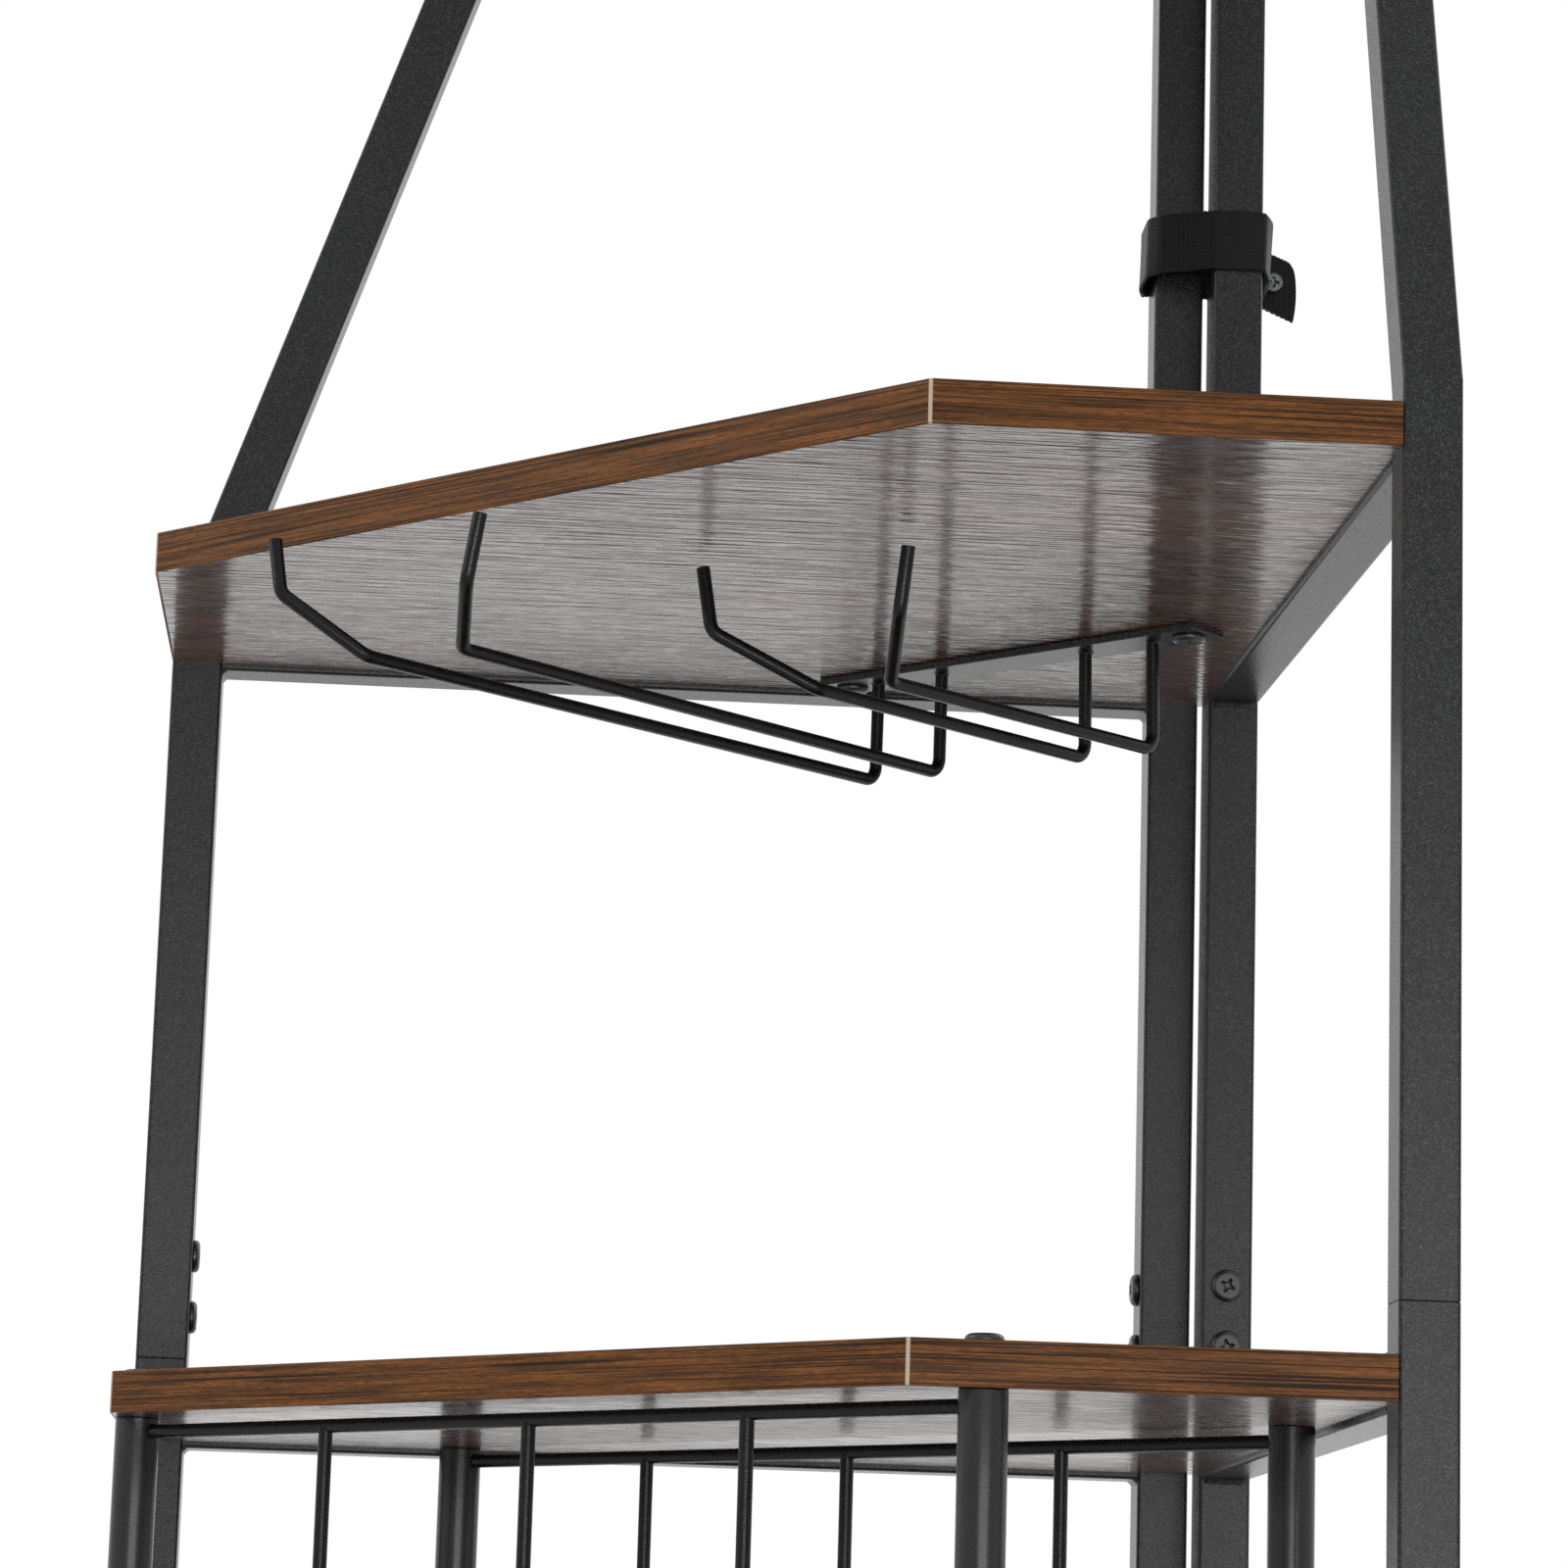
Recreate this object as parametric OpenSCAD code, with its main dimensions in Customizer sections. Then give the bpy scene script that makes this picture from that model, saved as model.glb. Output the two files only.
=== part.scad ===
// Corner wine rack: two welded side frames, five boards, a rack for sixteen bottles
// and a rack for stemmed glasses. It stands in the corner of a room.
// Two frames of reference are used, both in millimetres with +Z up from the floor.
// The wall frame has its origin where the two walls meet, x along the left wall and
// y along the right wall. The room frame has +X to the right of someone who faces
// the rack and -Y towards them, and its origin is under the middle of the rack.

/* [Side frames] */
// Width of the square frame tube
tube_w = 20; // [18:1:25]
// Wall of the square frame tube
tube_wall = 1.2; // [0.8:0.1:2]
// Rounding of the frame tube's long edges
tube_round = 1.5; // [1:0.1:2.5]
// Reach of a side frame along its wall, from the corner to its outer face
side_reach = 436; // [400:2:480]
// Gap that the two rear posts leave where the walls meet
rear_gap = 1.2; // [1:0.1:6]
// Lean of the outer posts towards the corner above their bend, in degrees
post_lean = 18.8; // [8:0.2:24]
// Height of that bend above the underside of the glass board
bend_rise = 23.5; // [18:0.5:60]
// Height of the joint between lower and upper frame above the counter's underside
joint_rise = 32; // [24:1:60]

/* [Levels] */
// Height of the underside of the bottom board above the floor
bottom_height = 95; // [60:1:140]
// Rise from the bottom board to the second board
base_bay = 310; // [250:1:360]
// Rise from the second board to the counter, with the bottles between them
wine_bay = 433; // [400:1:480]
// Rise from the counter to the glass board
glass_bay = 310; // [280:1:360]
// Rise from the glass board to the top board
top_bay = 360; // [300:1:400]

/* [Boards] */
// Thickness of a board
board_t = 15; // [12:1:18]
// Distance from the corner at which a board's short end turns into its front edge
board_side = 175; // [140:1:200]
// Thickness of the band that covers the board's visible edges
band_t = 1; // [0.4:0.1:2]

/* [Bottle rack] */
// Diameter of the rack's upright tubes
rack_tube_d = 16; // [13:1:19]
// Wall of the rack's upright tubes
rack_tube_wall = 1.2; // [0.8:0.1:2]
// Diameter of the rack's wires
rack_wire_d = 5; // [4:0.5:7]
// Bottles side by side
columns = 4; // [3:1:4]
// Bottles one above the other
rows = 4; // [3:1:4]
// Distance from the boards' front edge back to the front panel
panel_inset = 24; // [20:1:30]
// Clearance between a front tube and the side of the boards
front_margin = 0.9; // [0.5:0.1:6]
// Clearance between a rear tube and the crossbar beside it
rear_margin = 3.1; // [1:0.1:10]
// Distance from a board's face to the middle of the panel's first wire
bar_drop = 5; // [4:0.5:9]

/* [Glass rack] */
// Length of the flat bar that carries the wires
plate_l = 184; // [160:1:220]
// Width of the flat bar
plate_w = 20; // [16:1:25]
// Thickness of the flat bar
plate_t = 3; // [2:0.5:5]
// Distance from the corner of the room to the middle of the flat bar
plate_depth = 145; // [120:1:160]
// Place of the rack's middle, to the right of the board's middle
rack_shift = -4; // [-20:1:20]
// Diameter of the glass rack's wires
glass_wire_d = 5; // [4:0.5:6]
// Shift of both lanes against the middle of the plate
lane_shift = -2; // [-4:0.5:4]
// Distance between the middles of the two lanes
lane_pitch = 102; // [90:1:110]
// Distance between the two wires of a lane
lane_gap = 32; // [28:1:36]
// Depth of the wires' level run below the board
wire_drop = 44; // [36:1:60]
// Distance from the board's front edge back to the flare of the long left lane
long_inset = 12; // [5:1:100]
// Distance from the board's front edge back to the flare of the short right lane
short_inset = 128; // [60:1:150]
// How much further the left wire of a lane runs than the right one
run_stagger = 12; // [0:1:24]
// Sideways reach of the flare at a wire's front end
flare_out = 24; // [10:1:28]
// Forward reach of the flare
flare_forward = 24; // [10:1:26]
// Rise of the flare
flare_up = 18; // [10:1:24]
// Sideways lean of the upturned tip
tip_out = 4; // [0:1:8]
// Distance from the upturned tip to the board
tip_gap = 4; // [3:1:12]
// Radius of the wires' bends, to the middle of the wire
bend_radius = 6; // [4:0.5:8]

/* [Strap] */
// Width of the webbing
strap_w = 25; // [15:1:30]
// Thickness of the webbing
strap_t = 1.6; // [1:0.1:2.4]
// Height of the strap's middle above the underside of the glass board
strap_rise = 191; // [100:1:260]
// Slack of the strap beside the left rear post
strap_slack = 3; // [0:0.5:5]
// Slack of the strap beside the right rear post
right_slack = 4; // [1:0.5:5]
// Length of the doubled tail that stands out to the right
tail_l = 20; // [17:1:30]
// Slope of the tail, in degrees
tail_slope = 23; // [0:1:30]
// Distance that the tail's root sits below the strap's middle
tail_drop = 0; // [0:0.5:4]

/* [Fasteners and feet] */
// Diameter of the bolts' thread
bolt_d = 6; // [5:0.5:6]
// Diameter of the bolts' pan heads
head_d = 12; // [10:0.5:14]
// Height of the bolts' pan heads
head_h = 2.5; // [2:0.5:4]
// Height of the first frame bolt above the joint
first_bolt = 17; // [14:1:30]
// Distance between a post's two frame bolts
bolt_pitch = 24; // [20:1:40]
// Diameter of the screws that hold the boards to the crossbars
screw_d = 4.6; // [4:0.2:5]
// Distance from a crossbar's end to its screw
screw_inset = 60; // [30:1:90]
// Diameter of a levelling foot's pad
foot_d = 22; // [18:1:26]
// Height of a levelling foot's pad
foot_h = 7; // [5:0.5:10]

/* [Hidden] */
// Half of a right angle's diagonal: turns a distance along both walls into depth
DIAGONAL = sqrt(0.5);
// Roundness of cylinders, and of the bent wires round and along a bend
$fn = 48;
WIRE_SIDES = 16;
BEND_STEP = 15;
// Reach of the blocks that cut
FAR = 2000;

// Running gap between a foot's thread and its insert, and other small clearances
THREAD_GAP = 0.05;
BOLT_GAP = 0.2;
SLEEVE_GAP = 0.2;
STRAP_GAP = 0.4;
FOOT_GAP = 0.3;
SCREW_GAP = 0.1;

// Heights
LEVEL = [
    bottom_height,
    bottom_height + base_bay,
    bottom_height + base_bay + wine_bay,
    bottom_height + base_bay + wine_bay + glass_bay,
    bottom_height + base_bay + wine_bay + glass_bay + top_bay,
];
BOTTOM = 0;
SECOND = 1;
COUNTER = 2;
GLASS = 3;
TOP = 4;
joint_z = LEVEL[COUNTER] + joint_rise;
bend_z = LEVEL[GLASS] + bend_rise;
bar_hang = (tube_w - board_t) / 2;
frame_top = LEVEL[TOP] - bar_hang + tube_w;

// Post caps: plate, plug below it and the plug's wall
cap_h = 2;
plug_h = 10;
plug_wall = 2;

// Feet and the plugs that they screw into
insert_flange = 2;
insert_depth = 14;
hub_d = 12;
hub_h = 3;
stud_l = 24;
post_base = foot_h + hub_h + FOOT_GAP + insert_flange;

// Posts in the wall frame
rear_x = tube_w + rear_gap;
bar_start = rear_x + tube_w;
outer_x = side_reach - tube_w;
bore_w = tube_w - 2 * tube_wall;

// Joint sleeves
sleeve_w = bore_w - 2 * SLEEVE_GAP;
sleeve_wall = 1.5;
sleeve_down = 30;
sleeve_past_bolt = 16;
sleeve_up = first_bolt + bolt_pitch + sleeve_past_bolt;
bolt_l = 10;

// Board screws
screw_head_d = 9;
screw_head_h = 3;
screw_grip = 22;

// Bottle rack
facet_depth = (side_reach + board_side) * DIAGONAL;
front_panel = facet_depth - panel_inset;
panel_half = (side_reach - front_margin - rack_tube_d / 2) / DIAGONAL - front_panel;
rear_panel = panel_half + (tube_w + rear_margin + rack_tube_d / 2) / DIAGONAL;
column_pitch = 2 * panel_half / columns;
rack_floor = LEVEL[SECOND] + board_t;
rack_ceiling = LEVEL[COUNTER];
low_bar = rack_floor + bar_drop;
high_bar = rack_ceiling - bar_drop;
row_pitch = (high_bar - low_bar) / rows;
nut_l = 14;

// Glass rack
plate_hole_inset = 9;
long_run = facet_depth - long_inset - plate_depth;
short_run = facet_depth - short_inset - plate_depth;
insert_nut_d = 10;
insert_nut_l = 11;

// Strap and its wall screw
strap_z = LEVEL[GLASS] + strap_rise;
wall_screw_x = -11;
wall_screw_d = 4;
wall_screw_neck_d = 3.2;
wall_screw_l = 30;
wall_screw_point = 6;
wall_screw_head = 7;
wall_screw_head_h = 2.5;

// The origin is under the middle of the box that holds the whole rack
front_most = plate_depth + long_run + run_stagger / 2 + flare_forward + glass_wire_d / 2;
back_most = (wall_screw_x - STRAP_GAP - strap_t - wall_screw_l) * DIAGONAL;
middle_depth = (front_most + back_most) / 2;

// Names of the pieces

// Reach of the outer face of an outer post at a height above its bend
function reach_at(z) = side_reach - max(0, z - bend_z) * tan(post_lean);

// A point of the room frame, from its place to the right of the middle, its depth
// from the corner of the room and its height
function spot(across, depth, z) = [across, middle_depth - depth, z];

// Places of the four rack tubes: left and right in the front panel, then in the rear
RACK_SPOTS = [
    [-panel_half, front_panel],
    [panel_half, front_panel],
    [-panel_half, rear_panel],
    [panel_half, rear_panel],
];

// Screw places along a crossbar of a level
function bar_end(level) = level == TOP ? reach_at(frame_top) - tube_w : outer_x;
function screw_places(level) = [bar_start + screw_inset, bar_end(level) - screw_inset];

// From the wall frame to the room frame
module in_corner() {
    translate([0, middle_depth, 0]) rotate([0, 0, -135]) children();
}

// The right side frame mirrors the left one
module on_side(side) {
    if (side == "left") {
        in_corner() children();
    } else {
        in_corner() mirror([1, -1, 0]) children();
    }
}

module rounded_square(w, r) {
    translate([r, 0]) square([w - 2 * r, w]);
    translate([0, r]) square([w, w - 2 * r]);
    for (x = [r, w - r], y = [r, w - r]) translate([x, y]) circle(r = r);
}

// A length of frame tube along +Z
module frame_tube(length) {
    difference() {
        linear_extrude(height = length) rounded_square(tube_w, tube_round);
        translate([tube_wall, tube_wall, -1]) cube([bore_w, bore_w, length + 2]);
    }
}

// The frame bolts of one post, on the face at x that looks towards the other post
module at_frame_bolts(x, towards) {
    for (i = [0, 1])
        translate([x, tube_w / 2, joint_z + first_bolt + i * bolt_pitch])
            rotate([0, towards * 90, 0]) children();
}

// Everything above the mitre of the outer post's bend, or below it
module above_mitre() {
    translate([side_reach, -1, bend_z]) rotate([0, -post_lean / 2, 0])
        translate([-FAR / 2, 0, 0]) cube([FAR, tube_w + 2, FAR]);
}

module below_mitre() {
    translate([side_reach, -1, bend_z]) rotate([0, -post_lean / 2, 0])
        translate([-FAR / 2, 0, -FAR]) cube([FAR, tube_w + 2, FAR]);
}

module lower_post(x) {
    color("#232426")
        translate([x, 0, post_base]) frame_tube(joint_z - post_base);
}

module upper_rear_post() {
    color("#232426") difference() {
        translate([rear_x, 0, joint_z]) frame_tube(frame_top - joint_z);
        at_frame_bolts(bar_start + 1, -1)
            cylinder(d = bolt_d + 2 * BOLT_GAP, h = tube_wall + 2);
    }
}

// The outer post ends in a mitre above the glass board
module upper_outer_post() {
    color("#232426") difference() {
        translate([outer_x, 0, joint_z]) frame_tube(bend_z + tube_w - joint_z);
        above_mitre();
        at_frame_bolts(outer_x - 1, 1)
            cylinder(d = bolt_d + 2 * BOLT_GAP, h = tube_wall + 2);
    }
}

// The leaning post is welded to that mitre and runs in to the top board
module leaning_post() {
    color("#232426") difference() {
        translate([side_reach, 0, bend_z]) rotate([0, -post_lean, 0])
            translate([-tube_w, 0, -tube_w])
            frame_tube((frame_top - bend_z) / cos(post_lean) + 3 * tube_w);
        below_mitre();
        translate([0, -1, frame_top]) cube([FAR, tube_w + 2, FAR]);
    }
}

// A crossbar runs from the rear post to the outer post at the height of a board.
// Wide holes in its wall side let the screws in, narrow ones pass their shanks.
module crossbar(level) {
    z = LEVEL[level];
    color("#232426") difference() {
        translate([bar_start, 0, z - bar_hang + tube_w]) rotate([0, 90, 0])
            frame_tube(outer_x - bar_start);
        if (level == TOP)
            translate([side_reach, -1, bend_z]) rotate([0, -post_lean, 0])
                translate([-tube_w, 0, 0]) cube([FAR, tube_w + 2, FAR]);
        for (x = screw_places(level)) translate([x, 0, z + board_t / 2]) {
            translate([0, -1, 0]) rotate([-90, 0, 0])
                cylinder(d = screw_head_d + 2, h = tube_wall + 2);
            rotate([-90, 0, 0]) cylinder(d = screw_d + 2 * BOLT_GAP, h = tube_w + 1);
        }
    }
}

// A sleeve is welded into the top of a lower post and carries the upper post
module joint_sleeve(x, face, towards) {
    color("#3a3b3d") difference() {
        translate([x + tube_w / 2 - sleeve_w / 2, tube_w / 2 - sleeve_w / 2,
            joint_z - sleeve_down])
            difference() {
                cube([sleeve_w, sleeve_w, sleeve_down + sleeve_up]);
                translate([sleeve_wall, sleeve_wall, -1])
                    cube([sleeve_w - 2 * sleeve_wall, sleeve_w - 2 * sleeve_wall,
                        sleeve_down + sleeve_up + 2]);
            }
        at_frame_bolts(face, towards)
            cylinder(d = bolt_d + 2 * THREAD_GAP, h = tube_wall + sleeve_wall + 3);
    }
}

module joint_sleeves() {
    for (side = ["left", "right"]) on_side(side) {
        joint_sleeve(rear_x, bar_start, -1);
        joint_sleeve(outer_x, outer_x, 1);
    }
}

// Plastic caps close the tops of the posts
module post_cap(x, w) {
    plug_w = bore_w - 2 * SLEEVE_GAP;
    color("#1b1b1c") {
        translate([x, 0, frame_top]) cube([w, tube_w, cap_h]);
        translate([x + w / 2 - plug_w / 2, (tube_w - plug_w) / 2, frame_top - plug_h])
            difference() {
                cube([plug_w, plug_w, plug_h]);
                translate([plug_wall, plug_wall, -1])
                    cube([plug_w - 2 * plug_wall, plug_w - 2 * plug_wall, plug_h + 1]);
            }
    }
}

// The cap of a leaning post follows its bore, which shifts sideways over the plug
module leaning_cap() {
    w = tube_w / cos(post_lean);
    x = reach_at(frame_top) - w;
    wall = tube_wall / cos(post_lean) + SLEEVE_GAP;
    shift = plug_h * tan(post_lean);
    color("#1b1b1c") {
        translate([x, 0, frame_top]) cube([w, tube_w, cap_h]);
        translate([0, tube_wall + SLEEVE_GAP, 0]) rotate([90, 0, 0]) mirror([0, 0, 1])
            linear_extrude(height = bore_w - 2 * SLEEVE_GAP)
            polygon([
                [x + wall, frame_top],
                [x + w - wall, frame_top],
                [x + w - wall + shift, frame_top - plug_h],
                [x + wall + shift, frame_top - plug_h],
            ]);
    }
}

module post_caps() {
    for (side = ["left", "right"]) on_side(side) {
        post_cap(rear_x, tube_w);
        leaning_cap();
    }
}

// Plastic inserts close the posts' feet and hold the levelling feet's threads
module foot_insert(x) {
    plug_w = bore_w - 2 * SLEEVE_GAP;
    color("#1b1b1c") difference() {
        translate([x, 0, post_base - insert_flange]) union() {
            cube([tube_w, tube_w, insert_flange]);
            translate([(tube_w - plug_w) / 2, (tube_w - plug_w) / 2, insert_flange])
                cube([plug_w, plug_w, insert_depth]);
        }
        translate([x + tube_w / 2, tube_w / 2, 0])
            cylinder(d = bolt_d + 2 * THREAD_GAP, h = post_base + insert_depth + 1);
    }
}

module foot_inserts() {
    for (side = ["left", "right"]) on_side(side) {
        foot_insert(rear_x);
        foot_insert(outer_x);
    }
}

// A levelling foot: pad, grip hub and threaded stud, turned as one piece
module levelling_foot(x) {
    edge = 1.5;
    color("#1b1b1c") translate([x + tube_w / 2, tube_w / 2, 0])
        rotate_extrude()
        polygon([
            [0, 0],
            [foot_d / 2 - edge, 0],
            [foot_d / 2, edge],
            [foot_d / 2, foot_h - edge],
            [foot_d / 2 - edge, foot_h],
            [hub_d / 2, foot_h],
            [hub_d / 2, foot_h + hub_h],
            [bolt_d / 2, foot_h + hub_h],
            [bolt_d / 2, foot_h + hub_h + stud_l - edge],
            [bolt_d / 2 - edge, foot_h + hub_h + stud_l],
            [0, foot_h + hub_h + stud_l],
        ]);
}

// Outline of a board whose ends reach out to a distance along the walls. The edges
// that show are drawn back by a margin.
module board_outline(reach, side, margin) {
    out = reach - margin;
    turn = side - margin * (sqrt(2) - 1);
    polygon([[tube_w, tube_w], [out, tube_w], [out, turn], [turn, out], [tube_w, out]]);
}

function board_reach(level) = level == TOP ? reach_at(LEVEL[TOP] + board_t) : side_reach;
function board_turn(level) = board_side * board_reach(level) / side_reach;

module board(level) {
    z = LEVEL[level];
    color("#4a2f20") difference() {
        in_corner() translate([0, 0, z]) linear_extrude(height = board_t)
            board_outline(board_reach(level), board_turn(level), band_t);
        for (side = ["left", "right"]) on_side(side)
            for (x = screw_places(level))
                translate([x, tube_w - 1, z + board_t / 2]) rotate([-90, 0, 0])
                    cylinder(d = screw_d + 2 * SCREW_GAP, h = screw_grip + 2);
        if (level == SECOND || level == COUNTER)
            for (s = RACK_SPOTS) translate(spot(s[0], s[1], z - 1))
                cylinder(d = bolt_d + 2 * BOLT_GAP, h = board_t + 2);
        if (level == GLASS)
            for (a = [-1, 1]) translate(plate_hole(a, z - 1))
                cylinder(d = insert_nut_d, h = insert_nut_l + 1);
    }
}

module edge_band(level) {
    reach = board_reach(level);
    turn = board_turn(level);
    color("#7a4a28") in_corner() translate([0, 0, LEVEL[level]])
        difference() {
            linear_extrude(height = board_t) board_outline(reach, turn, 0);
            translate([0, 0, -1]) linear_extrude(height = board_t + 2)
                board_outline(reach, turn, band_t);
        }
}

// Bottle rack
module rack_tube(place) {
    color("#232426") translate(spot(place[0], place[1], rack_floor)) difference() {
        cylinder(d = rack_tube_d, h = rack_ceiling - rack_floor);
        translate([0, 0, -1])
            cylinder(d = rack_tube_d - 2 * rack_tube_wall, h = rack_ceiling - rack_floor + 2);
    }
}

// The space that a panel's two tubes take, which the wires are cut to
module panel_tubes(depth) {
    for (a = [-1, 1]) translate(spot(a * panel_half, depth, rack_floor))
        cylinder(d = rack_tube_d, h = rack_ceiling - rack_floor);
}

// A wire of a panel from tube to tube at a height
module cross_wire(depth, z) {
    translate(spot(-panel_half, depth, z)) rotate([0, 90, 0])
        cylinder(d = rack_wire_d, h = 2 * panel_half);
}

module rack_bars(depth) {
    color("#232426") difference() {
        for (z = [low_bar, high_bar]) cross_wire(depth, z);
        panel_tubes(depth);
    }
}

// The uprights are coped to the bars above and below them
module rack_uprights(depth) {
    color("#232426") difference() {
        for (i = [1 : columns - 1])
            translate(spot(-panel_half + i * column_pitch, depth, low_bar))
                cylinder(d = rack_wire_d, h = high_bar - low_bar);
        for (z = [low_bar, high_bar]) cross_wire(depth, z);
    }
}

// The rails carry the bottles and are welded to the inner side of the uprights
module bottle_rails(depth, inwards) {
    color("#232426") difference() {
        for (i = [1 : rows - 1])
            cross_wire(depth + inwards * rack_wire_d, low_bar + i * row_pitch);
        panel_tubes(depth);
    }
}

// Threaded plugs in the ends of the rack tubes
module rack_tube_nuts() {
    color("#8a8b8d") for (s = RACK_SPOTS, z = [rack_floor, rack_ceiling - nut_l])
        translate(spot(s[0], s[1], z)) difference() {
            cylinder(d = rack_tube_d - 2 * rack_tube_wall, h = nut_l);
            translate([0, 0, -1]) cylinder(d = bolt_d + 2 * THREAD_GAP, h = nut_l + 2);
        }
}

// Glass rack
function plate_hole(a, z) =
    spot(rack_shift + a * (plate_l / 2 - plate_hole_inset), plate_depth, z);

module glass_rack_plate() {
    color("#232426") difference() {
        translate(spot(rack_shift - plate_l / 2, plate_depth + plate_w / 2,
            LEVEL[GLASS] - plate_t))
            cube([plate_l, plate_w, plate_t]);
        for (a = [-1, 1]) translate(plate_hole(a, LEVEL[GLASS] - plate_t - 1))
            cylinder(d = bolt_d + 2 * BOLT_GAP, h = plate_t + 2);
    }
}

function unit(v) = v / norm(v);

// A vector turned about an axis of length 1
function turned(v, axis, angle) =
    v * cos(angle) + cross(axis, v) * sin(angle) + axis * (axis * v) * (1 - cos(angle));

// Rings along a wire, from its second corner on: each has its middle and two
// directions across the wire. A bend turns them about its own axis, ring by ring.
function wire_rings(p, across, i = 1) =
    let (way = unit(p[i] - p[i - 1]))
    i == len(p) - 1 ? [[p[i], across, cross(way, across)]] :
    let (
        next = unit(p[i + 1] - p[i]),
        turn = acos(way * next),
        axis = unit(cross(way, next)),
        inwards = cross(axis, way),
        centre = p[i] + bend_radius * (inwards - tan(turn / 2) * way),
        steps = ceil(turn / BEND_STEP)
    ) [
        for (k = [0 : steps])
            let (
                angle = turn * k / steps,
                side = turned(across, axis, angle)
            ) [
                centre - bend_radius * turned(inwards, axis, angle),
                side,
                cross(turned(way, axis, angle), side),
            ],
        each wire_rings(p, turned(across, axis, turn), i + 1),
    ];

// A round wire through a list of corners, with a bend at each inner one. The
// direction across has to be square to the wire's first stretch.
module bent_wire(p, d, across) {
    rings = [
        [p[0], across, cross(unit(p[1] - p[0]), across)],
        each wire_rings(p, across),
    ];
    last = len(rings) - 1;
    n = WIRE_SIDES;
    polyhedron(
        points = [
            for (r = rings, k = [0 : n - 1])
                r[0] + d / 2 * (cos(360 * k / n) * r[1] + sin(360 * k / n) * r[2])
        ],
        faces = [
            [for (k = [0 : n - 1]) k],
            [for (k = [n - 1 : -1 : 0]) last * n + k],
            for (j = [0 : last - 1], k = [0 : n - 1])
                let (a = j * n + k, b = j * n + (k + 1) % n)
                each [[a, a + n, b], [b, a + n, b + n]],
        ]
    );
}

// Corners of a glass wire: welded root, low corner, start and end of the flare, tip
function glass_wire(lane, side) =
    let (
        across = rack_shift + lane_shift + lane * lane_pitch / 2 + side * lane_gap / 2,
        run = (lane < 0 ? long_run : short_run) - side * run_stagger / 2,
        z = LEVEL[GLASS],
        front = plate_depth + run + flare_forward
    ) [
        spot(across, plate_depth, z - plate_t),
        spot(across, plate_depth, z - wire_drop),
        spot(across, plate_depth + run, z - wire_drop),
        spot(across + side * flare_out, front, z - wire_drop + flare_up),
        spot(across + side * (flare_out + tip_out), front, z - tip_gap),
    ];

module lane_wires(lane) {
    color("#232426") for (side = [-1, 1])
        bent_wire(glass_wire(lane, side), glass_wire_d, [1, 0, 0]);
}

// Threaded inserts in the glass board take the glass rack's bolts
module glass_rack_nuts() {
    color("#8a8b8d") for (a = [-1, 1]) translate(plate_hole(a, LEVEL[GLASS]))
        difference() {
            cylinder(d = insert_nut_d, h = insert_nut_l);
            translate([0, 0, -1])
                cylinder(d = bolt_d + 2 * THREAD_GAP, h = insert_nut_l + 2);
        }
}

// A pan head bolt with a cross recess: its head sits on the plane z = 0 and rises
// towards +Z, and its thread goes down
module pan_head_bolt(length, d = bolt_d, hd = head_d, hh = head_h) {
    recess_w = hd / 8;
    recess_l = hd / 2;
    recess_h = hh / 2;
    difference() {
        rotate_extrude()
            polygon([
                [0, -length],
                [d / 2, -length],
                [d / 2, 0],
                [hd / 2, 0],
                [hd / 2, hh * 0.4],
                [hd * 0.46, hh * 0.75],
                [hd * 0.38, hh],
                [0, hh],
            ]);
        for (a = [0, 90]) rotate([0, 0, a])
            translate([-recess_l / 2, -recess_w / 2, hh - recess_h])
            cube([recess_l, recess_w, recess_h + 1]);
    }
}

module frame_bolts() {
    color("#17181a") for (side = ["left", "right"]) on_side(side) {
        at_frame_bolts(bar_start, 1) pan_head_bolt(bolt_l);
        at_frame_bolts(outer_x, -1) pan_head_bolt(bolt_l);
    }
}

// A board screw's head sits inside the crossbar, against its inner wall
module board_screws() {
    color("#5c5d60") for (side = ["left", "right"], level = [BOTTOM : TOP])
        on_side(side) for (x = screw_places(level))
            translate([x, tube_w - tube_wall, LEVEL[level] + board_t / 2])
                rotate([90, 0, 0])
                pan_head_bolt(screw_grip + tube_wall, screw_d, screw_head_d, screw_head_h);
}

// The bottle rack hangs on four bolts through the counter and stands on four that
// come up through the second board
module bottle_rack_bolts() {
    grip = board_t + nut_l - 3;
    color("#17181a") for (s = RACK_SPOTS) {
        translate(spot(s[0], s[1], LEVEL[COUNTER] + board_t)) pan_head_bolt(grip);
        translate(spot(s[0], s[1], LEVEL[SECOND])) rotate([180, 0, 0])
            pan_head_bolt(grip);
    }
}

module glass_rack_bolts() {
    color("#17181a") for (a = [-1, 1]) translate(plate_hole(a, LEVEL[GLASS] - plate_t))
        rotate([180, 0, 0]) pan_head_bolt(insert_nut_l + plate_t - 1);
}

// Plan of the strap's loop: round both rear posts and the corner behind them
module strap_plan(r) {
    hull() {
        for (p = [
            [bar_start + strap_slack, 0],
            [bar_start + 0.8 * strap_slack, tube_w + 2 * strap_slack],
            [bar_start - strap_slack / 4, tube_w + 3.8 * strap_slack],
            [tube_w, bar_start], [tube_w / 2, bar_start + STRAP_GAP], [0, bar_start],
            [-0.65 * right_slack, tube_w + 3.6 * right_slack], [-right_slack, 1.2 * tube_w],
            [-right_slack, 0],
        ]) translate(p) circle(r = r, $fn = 32);
    }
}

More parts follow.
